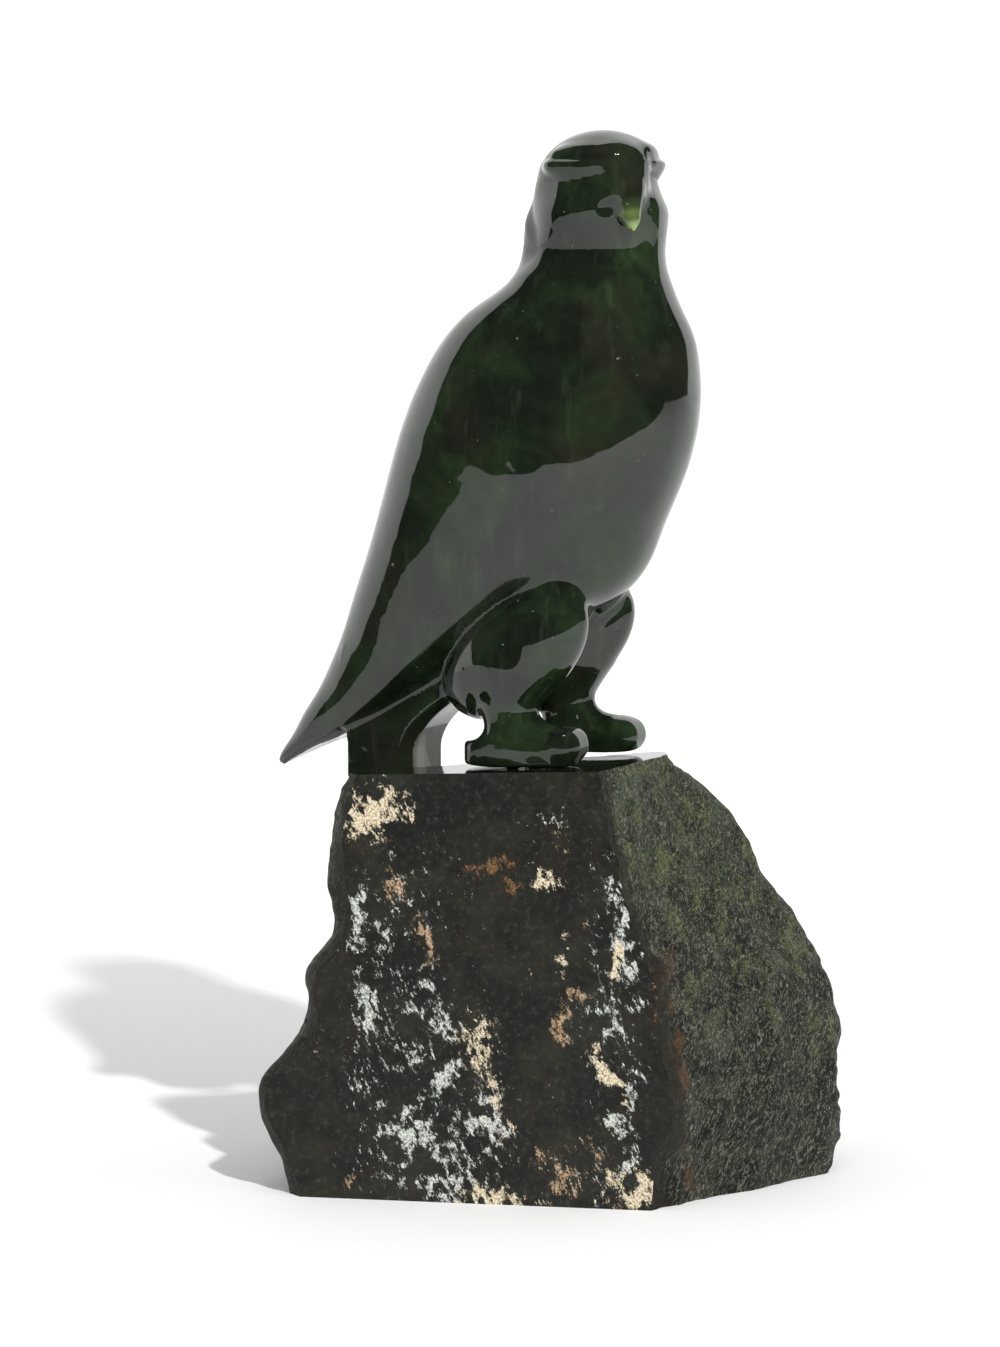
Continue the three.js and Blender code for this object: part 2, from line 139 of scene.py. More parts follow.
# %% [markdown]
# A polished carving has no edges to build from, only soft forms that run into
# each other. It could be sculpted by hand, or built from a cage and subdivided.
# Here it is written as a signed distance: a function that is negative inside the
# stone. Two forms then meet in a fillet of a chosen width, as a carver leaves
# them, and the mesh is laid over the result at the very end.

# %% Signed distance helpers


def curve(rows):
    """A smooth curve through a few values: rows of (place, value)."""
    xs, ys = np.array(rows, float).T
    n = len(xs)
    h = np.diff(xs)
    lhs, rhs = np.eye(n), np.zeros(n)
    for i in range(1, n - 1):
        lhs[i, i - 1:i + 2] = h[i - 1], 2 * (h[i - 1] + h[i]), h[i]
        rhs[i] = 6 * ((ys[i + 1] - ys[i]) / h[i] - (ys[i] - ys[i - 1]) / h[i - 1])
    second = np.linalg.solve(lhs, rhs)

    def value(x):
        x = np.clip(x, xs[0], xs[-1])
        k = np.clip(np.searchsorted(xs, x) - 1, 0, n - 2)
        a = (xs[k + 1] - x) / h[k]
        b = 1 - a
        bow = (a ** 3 - a) * second[k] + (b ** 3 - b) * second[k + 1]
        return a * ys[k] + b * ys[k + 1] + bow * h[k] ** 2 / 6
    return value


def join(a, b, fillet):
    """The nearer of two solids, with a fillet where they meet."""
    h = np.clip(0.5 + 0.5 * (b - a) / fillet, 0, 1)
    return b + (a - b) * h - fillet * h * (1 - h)


def common(a, b, fillet):
    """What two solids share."""
    return -join(-a, -b, fillet)


def cut_by(a, b, fillet):
    """The first solid without the second."""
    return common(a, -b, fillet)


def ramp(x, start, end):
    t = np.clip((x - start) / (end - start), 0, 1)
    return t * t * (3 - 2 * t)


def ellipsoid(p, centre, size, tip=0.0, turn=0.0):
    """An ellipsoid, its front tipped up and turned aside by so many degrees."""
    d = p - np.array(centre, float)
    c, s = math.cos(math.radians(turn)), math.sin(math.radians(turn))
    d = np.stack([d[..., 0] * c + d[..., 1] * s, d[..., 1] * c - d[..., 0] * s, d[..., 2]], -1)
    c, s = math.cos(math.radians(tip)), math.sin(math.radians(tip))
    d = np.stack([d[..., 0] * c + d[..., 2] * s, d[..., 1], d[..., 2] * c - d[..., 0] * s], -1)
    size = np.array(size, float)
    near = np.linalg.norm(d / size, axis=-1)
    steep = np.linalg.norm(d / size ** 2, axis=-1)
    return near * (near - 1) / np.maximum(steep, 1e-9)


def bar(p, start, end, start_radius, end_radius, narrow=1.0):
    """A round bar between two points, narrowed sideways."""
    squeeze = np.array([1, narrow, 1])
    p, start, end = p / squeeze, np.array(start) / squeeze, np.array(end) / squeeze
    along = end - start
    t = np.clip((p - start) @ along / (along @ along), 0, 1)
    radius = start_radius + (end_radius - start_radius) * t
    return np.linalg.norm(p - start - t[..., None] * along, axis=-1) - radius


# %% [markdown]
# The body, the neck and the folded wings are one tapering column. Its sections
# are rounded boxes a little squarer than an ellipse, and they lean back towards
# the wing tips as they go down. The lower edge of the wings is crisp, and the
# stone rolls in under it, so the underside mirrors the dark stone below.

# %% Body and wings
# height, middle, half length, half width
SECTIONS = np.array([
    (-5.0, -78.0, 2.4, 1.7),
    (-1.4, -72.4, 6.5, 5.0),
    (3.2, -63.0, 12.5, 9.0),
    (10.2, -50.0, 21.2, 14.0),
    (17.2, -40.0, 26.4, 17.0),
    (24.2, -29.0, 33.7, 19.8),
    (33.4, -19.5, 39.0, 22.5),
    (43.0, -13.5, 41.5, 25.0),
    (61.0, -7.2, 41.2, 28.5),
    (78.0, -1.1, 42.1, 30.8),
    (94.0, 3.7, 41.7, 31.6),
    (111.0, 7.8, 37.9, 28.4),
    (119.0, 9.7, 34.2, 25.9),
    (126.0, 12.0, 28.5, 23.4),
    (132.0, 15.1, 22.8, 21.2),
    (138.0, 16.2, 20.0, 19.3),
    (148.0, 17.0, 19.3, 21.3),
    (158.0, 18.0, 18.2, 24.0),
    (166.0, 18.6, 17.0, 24.4),
])
SQUARENESS = 2.15
CROWN = 178.0
ROLL_STEEPNESS = 1.15
middle, half_length, half_width = (curve(SECTIONS[:, (0, column)]) for column in (1, 2, 3))
wing_edge = curve([
    (-84.0, -8.8), (-78.8, -5.8), (-72.0, -2.2), (-66.0, 0.8), (-60.0, 3.8), (-56.0, 6.4),
    (-32.0, 25.6), (-16.0, 38.6), (-6.0, 46.6), (1.5, 52.0), (10.0, 53.5), (45.0, 51.0),
])


def body_column(p):
    u, v, w = p[..., 0], p[..., 1], p[..., 2]
    du = u - middle(w)
    along = np.abs(du) / half_length(w)
    across = np.abs(v) / half_width(w)
    share = (along ** SQUARENESS + across ** SQUARENESS) ** (1 / SQUARENESS)
    return np.hypot(du, v) * (1 - 1 / np.maximum(share, 1e-6))


def with_underside(body, p):
    u, v, w = p[..., 0], p[..., 1], p[..., 2]
    arch = 2.5 * np.clip(1 - (v / 18) ** 2, 0, 1) * ramp(-u, 5, 30)
    roll = np.clip(2.6 + 0.145 * (u + 56), 1.5, 9)
    below = wing_edge(u) + arch - w + ROLL_STEEPNESS * np.maximum(body, -roll)
    below = below / math.hypot(1, ROLL_STEEPNESS)
    crisp = common(body, below, 0.6)
    return crisp + (common(body, below, 7) - crisp) * ramp(u, 2, 14)


print("sections of the body:", len(SECTIONS))

# %% [markdown]
# The head turns further towards the viewer than the body does. A domed crown
# caps the neck, two brow ridges run forward into the beak, and two creases under
# each brow take the place of an eye. The beak flows out of the forehead without a
# step and ends in a sharp hook, with a small soft hollow behind it. Under the jaw
# the throat draws in a little, so that it leans over and mirrors the table.

# %% Head and beak
HEAD_TURN = math.radians(39)
EYE_HEIGHT = 162.0
HEAD_FORWARD = 18.0
BEAK_SLIMNESS = 0.88
BEAK_ASIDE = 1.3
THROAT_DEPTH = 3.3


def head_frame(p):
    c, s = math.cos(HEAD_TURN), math.sin(HEAD_TURN)
    u, v = p[..., 0] - HEAD_FORWARD, p[..., 1]
    return np.stack([u * c - v * s, u * s + v * c, p[..., 2] - EYE_HEIGHT], -1)


def carved_in(height, depth, rise, fall, bow=1.3):
    """A crease: the stone draws in towards a line from above, and comes out again below it."""
    above = np.maximum(1 - height / rise, 0) ** bow
    return depth * np.where(height > 0, above, 1 - ramp(-height, 0, fall))


def throat_depth(hw):
    """The throat draws in from the jaw downwards, and comes out again at the foot of the neck."""
    return THROAT_DEPTH * np.minimum(np.clip((-hw - 0.5) / 19.5, 0, 1), 1 - ramp(-hw, 20, 28))


def with_head(body, p):
    h = head_frame(p)
    throat = ramp(h[..., 0] - h[..., 1], 4, 16)
    capped = np.stack([h[..., 0], h[..., 1], np.maximum(h[..., 2], -5)], -1)
    dome = ellipsoid(capped, (1.6, 0.5, -5.0), (22.0, 18.9, 17.2))
    head = body + throat * throat_depth(h[..., 2])
    head = common(head, dome - 0.08 * np.maximum(-5 - 9 * throat - h[..., 2], 0) ** 2, 3.0)
    q = np.stack([h[..., 0], np.abs(h[..., 1]), h[..., 2]], -1)
    head = join(head, bar(q, (3, 14.4, 3.4), (13, 7.2, 3.4), 3, 3), 4.0)
    beak = np.stack([h[..., 0], h[..., 1] + BEAK_ASIDE, h[..., 2]], -1)
    slim = BEAK_SLIMNESS
    root = join(
        bar(beak, (6, 0, -2), (14.5, 0, 0), 8.5, 6.3, slim),
        bar(beak, (14.5, 0, 0), (17.8, 0, -4), 6.3, 5, slim),
        2.5,
    )
    head = join(head, root, 5.0)
    aside = ramp(q[..., 1], 5, 9) * ramp(q[..., 0], -12, 4)
    cheek_line = 2.7 - 0.3 * q[..., 1]
    head = head + aside * carved_in(q[..., 2] - cheek_line, 2.5, 4.8, 9)
    head = head + aside * carved_in(q[..., 2] - 4.6, 1.1, 3.4, 1.6)
    head = cut_by(head, ellipsoid(q, (21.2, 8, -8.9), (3.2, 2.8, 2)), 2.4)
    hook = bar(beak, (17.8, 0, -4), (18.9, 0, -8), 5, 4.2, slim)
    hook = join(hook, bar(beak, (18.9, 0, -8), (20.8, 0, -11.6), 4.2, 2.9, slim), 1.0)
    hook = join(hook, bar(beak, (20.8, 0, -11.6), (22.6, 0, -14.6), 2.9, 0.6, slim), 0.8)
    return join(head, hook, 1.6)


# %% [markdown]
# Each leg is a full thigh that tapers to a plain round ankle, and a blunt foot:
# an instep, one rolled toe, and a flat sole plate set back under it. The short
# square tail comes down behind the feet and hangs past the polished top.

# %% Legs and tail
ANKLE_RADIUS = 6.6
SOLE_THICKNESS = 6.6
SOLE_GAP = (0.45, 1.05)
TOP_TILT = math.radians(2.1)
TAIL_FRONT, TAIL_BACK, TAIL_HALF_WIDTH = -33.5, -53.5, 12.0
TAIL_TOP, TAIL_END = 30.0, -6.5


def leg(p, side):
    ahead = FOOT_STAGGER * side
    q = p - np.array([ahead, FOOT_SPREAD * side, 0])
    centre = (-1 - ahead, -2.5 * side, 31.5)
    thigh = ellipsoid(q, centre, (26, 12.5, 15.5), 36, 12 * side)
    limb = join(thigh, bar(q, (1.5, 0, 27), (0, 0, 15.5), 10.5, ANKLE_RADIUS), 4)
    limb = join(limb, bar(q, (0, 0, 16), (0, 0, 5), ANKLE_RADIUS, ANKLE_RADIUS), 2)
    plan = np.hypot(np.maximum(np.abs(q[..., 0] - 3.7) - 9.7, 0), q[..., 1]) - 6.8
    half = SOLE_THICKNESS / 2
    slab = common(plan, np.abs(q[..., 2] - half) - half, 1.5)
    instep = bar(q, (4, 0, 7), (15.5, 0, 6.3), 6.2, 5.4)
    toe = bar(q, (17.6, -2.4, 6.3), (17.6, 2.4, 6.3), 4.9, 4.9)
    foot = join(join(instep, toe, 1.5), slab, 2)
    limb = join(limb, foot, 6)
    run = p[..., 0] * math.cos(EAGLE_YAW) + p[..., 1] * math.sin(EAGLE_YAW)
    sole = run * math.tan(TOP_TILT) + SOLE_GAP[(side + 1) // 2]
    return common(limb, sole - p[..., 2], 0.8)


def tail_front(w):
    """The tail's front face sweeps forward as it rises."""
    return TAIL_FRONT + 0.05 * np.clip(w - 1, 0, 22) ** 2


def tail(p):
    u, v, w = p[..., 0], p[..., 1], p[..., 2]
    front = tail_front(w)
    out = np.abs(v) - TAIL_HALF_WIDTH
    corner = (out + u - front + 3.2) * math.sqrt(0.5)
    block = common(common(u - front, TAIL_BACK - u, 1), out, 0.8)
    return common(common(block, corner, 0.8), common(w - TAIL_TOP, TAIL_END - w, 0.8), 0.8)


HEAD_ABOVE = 134.0
LEGS_BELOW = 76.0


def eagle_field(p):
    shape, p = p.shape[:-1], p.reshape(-1, 3)
    w = p[:, 2]
    d = common(body_column(p), w - CROWN, 2)
    high = w > HEAD_ABOVE
    d[high] = with_head(d[high], p[high])
    low = w < LEGS_BELOW
    q = p[low]
    near = with_underside(d[low], q)
    near = join(near, bar(q, (-11, 0, 33), (9, 0, 44), 5.5, 6), 2)
    for side in (-1, 1):
        near = join(near, leg(q, side), 1 + 6 * ramp(q[:, 0], 0, 14))
    near = join(near, tail(q), 2)
    bore = np.hypot(q[:, 0] - PIN_AHEAD, q[:, 1] + FOOT_SPREAD) - PIN_DIAMETER / 2 - PIN_CLEARANCE
    depth = q[:, 2] - PIN_IN_FOOT - PIN_CLEARANCE
    d[low] = cut_by(near, common(bore, depth, 0.3), 0.3)
    return d.reshape(shape)


print("field at the middle of the body:", round(float(eagle_field(np.array([[0, 0, 90.0]]))[0]), 1))

# %% [markdown]
# A mesh is laid over a signed distance with surface nets: one corner in every
# lattice cell that the surface crosses, one quad for every lattice edge that it
# crosses. Each corner is then moved along the slope until it lies on the surface.
# The lattice follows the form, so the head and the feet get the small cells.

# %% Skin over a signed distance


def slope_of(field, p, step=0.02):
    """The field's slope at each point, by small steps each way."""
    slope = np.empty_like(p)
    for axis in range(3):
        offset = np.zeros(3)
        offset[axis] = step
        slope[:, axis] = (field(p + offset) - field(p - offset)) / (2 * step)
    return slope


def settle(field, p, turns, reach):
    for _ in range(turns):
        slope, distance = slope_of(field, p), field(p)
        steep = np.maximum((slope ** 2).sum(1), 0.05)
        move = -(distance / steep)[:, None] * slope
        length = np.linalg.norm(move, axis=1, keepdims=True)
        p = p + move * np.minimum(1, reach / np.maximum(length, 1e-9))
    return p


def fill_pinches(values):
    """Fills a fold narrower than a cell, where two sheets of skin would share an edge."""
    filled = True
    while filled:
        filled = False
        for first, second in ((0, 1), (0, 2), (1, 2)):
            def corner(a, b):
                cut = [slice(None)] * 3
                cut[first] = slice(1, None) if a else slice(None, -1)
                cut[second] = slice(1, None) if b else slice(None, -1)
                return values[tuple(cut)]
            p, q, r, s = corner(0, 0), corner(1, 0), corner(1, 1), corner(0, 1)
            for one, other, solid, also in ((p, r, q, s), (q, s, p, r)):
                pinch = (one >= 0) & (other >= 0) & (solid < 0) & (also < 0)
                filled = filled or bool(pinch.any())
                one[pinch & (one <= other)] = -1e-3
                other[pinch & (other < one)] = -1e-3
    return values


def skin(field, points, turns=2, reach=0.6):
    """Corners and quads of the surface inside a lattice of points."""
    values = np.empty(points.shape[:3])
    for i in range(len(points)):
        values[i] = field(points[i])
    values = fill_pinches(values)
    cells = np.array(values.shape) - 1
    total, crossings = np.zeros((*cells, 3)), np.zeros(cells)
    quads = []
    for axis in range(3):
        here, there = [slice(None)] * 3, [slice(None)] * 3
        here[axis], there[axis] = slice(None, -1), slice(1, None)
        a, b = values[tuple(here)], values[tuple(there)]
        crossed = (a < 0) != (b < 0)
        t = (a[crossed] / (a[crossed] - b[crossed]))[:, None]
        start, end = points[tuple(here)][crossed], points[tuple(there)][crossed]
        place, at = start + (end - start) * t, np.argwhere(crossed)
        one, other = (np.eye(3, dtype=int)[n] for n in range(3) if n != axis)
        for back in (0 * one, one, other, one + other):
            cell = at - back
            inside = ((cell >= 0) & (cell < cells)).all(1)
            np.add.at(total, tuple(cell[inside].T), place[inside])
            np.add.at(crossings, tuple(cell[inside].T), 1)
        ring = np.stack([at - one - other, at - other, at, at - one], 1)
        flip = (a[crossed] > 0) ^ (axis == 1)
        ring[flip] = ring[flip][:, ::-1]
        quads.append(ring)
    used = np.argwhere(crossings > 0)
    number = np.full(cells, -1)
    number[tuple(used.T)] = np.arange(len(used))
    corners = total[tuple(used.T)] / crossings[tuple(used.T)][:, None]
    quads = np.concatenate(quads)
    return settle(field, corners, turns, reach), number[tuple(np.moveaxis(quads, -1, 0))]


def halve(field, corners, quads, turns=1, reach=0.3):
    """Splits every quad in four, with the new corners back on the surface."""
    edges = np.stack([quads, np.roll(quads, -1, 1)], -1).reshape(-1, 2)
    ends, which = np.unique(np.sort(edges, 1), axis=0, return_inverse=True)
    midpoints = corners[ends].mean(1)
    centres = corners[quads].mean(1)
    first_mid, first_centre = len(corners), len(corners) + len(midpoints)
    mids = which.reshape(-1, 4) + first_mid
    centre = np.arange(len(quads)) + first_centre
    fine = [np.stack([quads[:, n], mids[:, n], centre, mids[:, n - 1]], 1) for n in range(4)]
    new = settle(field, np.concatenate([midpoints, centres]), turns, reach)
    return np.concatenate([corners, new]), np.concatenate(fine)


def new_piece(name, points, faces):
    """A mesh object in the scene, from points in the carving's millimetres."""
    mesh = bpy.data.meshes.new(name)
    mesh.from_pydata(to_scene(points).tolist(), [], faces.tolist())
    mesh.shade_smooth()
    piece = bpy.data.objects.new(name, mesh)
    bpy.context.scene.collection.objects.link(piece)
    return piece


# %% [markdown]
# On stone this glossy the eye reads the reflections, and they show any ripple in
# the shading. So each corner is given the exact normal of the signed distance,
# instead of an average of the small faces around it. Each corner also gets a
# value for how thin the stone is behind it: thin jade lets light through, and
# that glow is painted into the colour, which is why the tip of the beak is so
# much lighter than the rest.

# %% The eagle's mesh
LATTICE = (60, 40, 112)
lattice_height = curve([(0, -9.5), (0.31, 30), (0.62, 118), (1, 178.5)])
lattice_middle = curve([(-9.5, -27), (30, -22), (60, -6), (110, 7.5), (135, 17), (180, 19)])
lattice_length = curve([(-9.5, 59), (30, 54), (60, 46), (110, 42.5), (135, 28), (180, 26)])
lattice_width = curve([(-9.5, 27), (30, 31), (60, 35), (100, 36), (135, 26), (180, 24)])


def eagle_lattice():
    i, j, k = np.meshgrid(*(np.arange(n + 1) / n for n in LATTICE), indexing="ij")
    w = lattice_height(k)
    s = 2 * i - 1
    crowd = 0.16 * (1 - ramp(w, 20, 70))
    u = lattice_middle(w) + lattice_length(w) * (s + crowd * (1 - s * s))
    return np.stack([u, lattice_width(w) * (2 * j - 1), w], -1)


corners, quads = skin(eagle_field, eagle_lattice())
corners, quads = halve(eagle_field, corners, quads)
normals = slope_of(eagle_field, corners)
normals /= np.maximum(np.linalg.norm(normals, axis=1, keepdims=True), 1e-9)
THIN = 4.0
depth = -eagle_field(corners - normals * THIN)
in_head = head_frame(corners)
hook = bar(in_head + np.array([0, BEAK_ASIDE, 0]), (18.9, 0, -8), (22.6, 0, -14.6), 4.2, 0.6, BEAK_SLIMNESS)
on_hook = ramp(-in_head[:, 2], 3, 15) * ramp(-hook, -1.2, -0.5)
thinness = np.clip(1.25 - depth / THIN, 0, 1) * on_hook
tail_face = np.abs(corners[:, 0] - tail_front(corners[:, 2])) < 0.7
on_tail = tail_face & (np.abs(corners[:, 1]) < TAIL_HALF_WIDTH + 1) & (normals[:, 0] > 0.8) & (corners[:, 2] < 17)
eagle = new_piece("jade_eagle", np.stack(carving_xyz(*corners.T), -1), quads)
c, s = math.cos(EAGLE_YAW), math.sin(EAGLE_YAW)
turned = normals @ np.array([(c, -s, 0), (s, c, 0), (0, 0, 1)])
eagle.data.normals_split_custom_set_from_vertices(turned.tolist())
eagle.data.attributes.new("thinness", "FLOAT", "POINT").data.foreach_set("value", thinness)
eagle.data.attributes.new("tooled", "FLOAT", "POINT").data.foreach_set("value", on_tail.astype(float))
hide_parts("eagle")
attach(eagle, "root")
print("eagle faces:", len(quads), "thinnest:", round(float(thinness.max()), 2))

# %% [markdown]
# The boulder was a water-worn lump. It was sawn flat underneath and in front,
# and its small top was sawn and polished for the eagle to stand on. The left and
# right ends follow the outline seen from the front. Behind the top it slopes
# away, because the eagle's tail hangs down there. Two sorts of unevenness cover
# the broken sides: long soft swells, and the small lumps and pits of old rind.

# %% The boulder's form
FRONT_YAW = math.radians(12)
FRONT_LEAN = math.radians(1.9)
FRONT_CORNER = (8.0, -44.4)
REAR_EDGE = (11.4, -4.2)
REAR_YAW = math.radians(16)
REAR_SLOPE = math.radians(36)
ARRIS = 5.0
BLUNT = 4.0
SPARE = 8.0
left_end = curve([
    (0, -76.2), (8, -78.4), (25, -82.7), (34, -80.2), (46, -72.7), (51, -71.3), (60, -71.3),
    (64, -69.5), (69, -65), (84, -63.2), (105, -63.7), (112, -62), (119, -58),
])
right_end = curve([
    (0, 77), (6, 81.5), (20, 83), (34, 81.5), (52, 80), (63, 76.9), (76, 67.2), (93, 55.1), (117, 33),
])
back_end = curve([(0, 52), (14, 58), (36, 57), (60, 52), (119, 34)])
corner_x = curve([(0, 24.3), (14, 27), (31, 28.3), (47, 27), (63, 24.2), (82, 18.8), (119, 8)])
mossy_yaw = curve([(0, 47), (60, 50), (119, 57)])


def lumps(p, size, seed):
    """Soft random lumps of one size, between -1 and 1."""
    table = np.random.default_rng(seed).uniform(-1, 1, (32, 32, 32))
    q = p / size
    cell = np.floor(q).astype(int)
    t = q - cell
    t = t * t * (3 - 2 * t)
    total = 0
    for a in (0, 1):
        for b in (0, 1):
            for c in (0, 1):
                share = np.prod(np.where(np.array((a, b, c)) == 1, t, 1 - t), axis=-1)
                total = total + share * table[tuple(np.moveaxis((cell + (a, b, c)) % 32, -1, 0))]
    return total


def swell(x, y, z):
    long = 1.1 * np.sin(0.085 * x + 0.05 * z + 1) * np.sin(0.07 * y - 0.06 * z + 2)
    return long + 0.7 * np.sin(0.16 * z + 0.11 * y) * np.cos(0.13 * x - 0.05 * y)


def front_y(x, z):
    """Where the ground front face lies."""
    lean = (BASE_HEIGHT - z) * math.tan(FRONT_LEAN)
    return FRONT_CORNER[1] - (x - FRONT_CORNER[0]) * math.tan(FRONT_YAW) - lean


def boulder_field(p):
    x, y, z = p[..., 0], p[..., 1], p[..., 2]
    edge_x, yaw = corner_x(z), np.radians(mossy_yaw(z))
    mossy = (x - edge_x) * np.sin(yaw) - (y - front_y(edge_x, z)) * np.cos(yaw)
    side = (left_end(z) - x) * 0.97 + (y + 22) * 0.24
    blunt = (left_end(z) + BLUNT - x) * 0.77 + (front_y(left_end(z), z) - y) * 0.64
    left = common(side, blunt, ARRIS)
    right = (x - right_end(z)) * 0.82 + (y - 5) * 0.26
    back = (y - back_end(z)) * 0.95 - x * 0.12
    behind = (y - REAR_EDGE[1]) * math.cos(REAR_YAW) - (x - REAR_EDGE[0]) * math.sin(REAR_YAW)
    rear = behind * math.sin(REAR_SLOPE) + (z - BASE_HEIGHT) * math.cos(REAR_SLOPE)
    d = common(common(left, right, ARRIS), common(back, rear, 2 * ARRIS), 2 * ARRIS)
    d = common(d, mossy, ARRIS) + swell(x, y, z)
    wild = 1 + 0.3 * ramp(mossy, -8, -1)
    d = d + wild * (0.9 * lumps(p, 11, 1) + 0.5 * lumps(p, 5, 2) + 0.3 * lumps(p, 2.4, 3))
    return np.maximum.reduce([d, front_y(x, z) - y - SPARE, -z - SPARE, z - BASE_HEIGHT - SPARE])


BOULDER_CELL = 1.15
axes = [np.arange(*span, BOULDER_CELL) for span in ((-92, 92), (-72, 72), (-16, 136))]
rough_corners, rough_quads = skin(boulder_field, np.stack(np.meshgrid(*axes, indexing="ij"), -1))
boulder = new_piece("jade_boulder", rough_corners, rough_quads)
print("rough boulder faces:", len(rough_quads))

# %% [markdown]
# The saw cuts are made as they are made in the workshop, one flat face at a
# time: each cut removes what lies past a plane and closes the stone again. The
# edges stay crisp where two cuts meet and ragged where a cut meets the rind. Each
# cut is remembered in the faces' material number, so that it can get its finish.

# %% Saw the boulder flat
ROUGH, GROUND, POLISHED, SAWN = range(4)
top_normal = Vector((-math.sin(TOP_TILT), 0, math.cos(TOP_TILT)))
front_normal = Vector((
    -math.sin(FRONT_YAW) * math.cos(FRONT_LEAN),
    -math.cos(FRONT_YAW) * math.cos(FRONT_LEAN),
    math.sin(FRONT_LEAN),
))
CUTS = (
    (POLISHED, (*EAGLE_PLACE, BASE_HEIGHT), top_normal),
    (GROUND, (*FRONT_CORNER, BASE_HEIGHT), front_normal),
    (SAWN, (0, 0, 0), Vector((0, 0, -1))),
)


def saw(mesh, place, normal, number):
    bm = bmesh.new()
    bm.from_mesh(mesh)
    everything = bm.verts[:] + bm.edges[:] + bm.faces[:]
    cut = bmesh.ops.bisect_plane(
        bm, geom=everything, dist=1e-7, plane_co=Vector(to_scene(place)), plane_no=normal, clear_outer=True,
    )
    rim = [part for part in cut["geom_cut"] if isinstance(part, bmesh.types.BMEdge)]
    for face in bmesh.ops.edgeloop_fill(bm, edges=rim)["faces"]:
        face.material_index = number
        face.smooth = False
        if face.normal.dot(normal) < 0:
            face.normal_flip()
    bm.to_mesh(mesh)
    bm.free()


for number, place, normal in CUTS:
    saw(boulder.data, place, normal, number)
faces_by_finish = [sum(f.material_index == n for f in boulder.data.polygons) for n in range(4)]
print("faces by finish:", faces_by_finish)

# %% [markdown]
# A hole for the dowel is drilled into the polished top. The drill is a plain
# cylinder that is subtracted and then thrown away.

# %% Drill the dowel's hole


def drill(piece, place, radius, depth):
    bm = bmesh.new()
    bmesh.ops.create_cone(
        bm, cap_ends=True, segments=32, radius1=radius * MM, radius2=radius * MM, depth=2 * depth * MM,
    )
    mesh = bpy.data.meshes.new("drill")
    bm.to_mesh(mesh)
    bm.free()
    tool = bpy.data.objects.new("drill", mesh)
    tool.location = to_scene(place)
    bpy.context.scene.collection.objects.link(tool)
    cut = piece.modifiers.new("hole", "BOOLEAN")
    cut.operation, cut.solver, cut.object = "DIFFERENCE", "EXACT", tool
    bpy.context.view_layer.update()
    drilled = bpy.data.meshes.new_from_object(piece.evaluated_get(bpy.context.evaluated_depsgraph_get()))
    piece.modifiers.remove(cut)
    piece.data = drilled
    bpy.data.objects.remove(tool)


drill(boulder, (pin_x, pin_y, BASE_HEIGHT), PIN_DIAMETER / 2 + PIN_CLEARANCE, PIN_IN_BASE + PIN_CLEARANCE)
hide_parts("boulder_base")
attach(boulder, "root")
print("boulder faces:", len(boulder.data.polygons))

# %% [markdown]
# The stone's finishes are built from shader nodes. A small helper adds a node
# with its settings and inputs, and another makes a group with named sockets, for
# effects that more than one finish uses.

# %% Shader helpers


def add(tree, kind, values=None, **settings):
    """A new node. Values go to its inputs by name or number: a socket is linked, anything else is set."""
    made = tree.nodes.new("ShaderNode" + kind)
    for name, value in settings.items():
        setattr(made, name, value)
    for name, value in (values or {}).items():
        if isinstance(value, bpy.types.NodeSocket):
            tree.links.new(value, made.inputs[name])
        else:
            made.inputs[name].default_value = value
    return made


def new_group(name, inputs, outputs):
    """A shader group: its tree, its inside input sockets, and its output node."""
    tree = bpy.data.node_groups.new(name, "ShaderNodeTree")
    for label, kind, default in inputs:
        socket = tree.interface.new_socket(label, in_out="INPUT", socket_type="NodeSocket" + kind)
        if default is not None:
            socket.default_value = default
    for label, kind in outputs:
        tree.interface.new_socket(label, in_out="OUTPUT", socket_type="NodeSocket" + kind)
    return tree, tree.nodes.new("NodeGroupInput").outputs, tree.nodes.new("NodeGroupOutput").inputs


def use(tree, group, values):
    made = add(tree, "Group", node_tree=group)
    for name, value in values.items():
        if isinstance(value, bpy.types.NodeSocket):
            tree.links.new(value, made.inputs[name])
        else:
            made.inputs[name].default_value = value
    return made.outputs


def math_node(tree, operation, a, b=0.5, c=0.5, clamp=False):
    return add(tree, "Math", {0: a, 1: b, 2: c}, operation=operation, use_clamp=clamp).outputs[0]


def mix_colour(tree, share, a, b, blend="MIX"):
    made = tree.nodes.new("ShaderNodeMix")
    made.data_type, made.blend_type = "RGBA", blend
    for name, value in ((0, share), (6, a), (7, b)):
        if isinstance(value, bpy.types.NodeSocket):
            tree.links.new(value, made.inputs[name])
        else:
            made.inputs[name].default_value = value
    return made.outputs[2]


def band(tree, value, low, high, smooth=True):
    """0 below low, 1 above high. With low over high it falls instead."""
    kind = "SMOOTHSTEP" if smooth else "LINEAR"
    return add(tree, "MapRange", {0: value, 1: low, 2: high, 3: 0.0, 4: 1.0}, interpolation_type=kind).outputs[0]


def srgb(red, green, blue):
    """A colour as a picture gives it, from 0 to 255, as the light values a shader needs."""
    def light(c):
        c /= 255
        return c / 12.92 if c <= 0.04045 else ((c + 0.055) / 1.055) ** 2.4
    return light(red), light(green), light(blue), 1.0


def new_material(name):
    material = bpy.data.materials.new(name)
    material.use_nodes = True
    tree = material.node_tree
    return material, tree, tree.nodes["Principled BSDF"]


def place_in_mm(tree):
    """The place on the object, in millimetres."""
    where = add(tree, "TexCoord").outputs["Object"]
    return add(tree, "VectorMath", {0: where, "Scale": 1 / MM}, operation="SCALE").outputs[0]


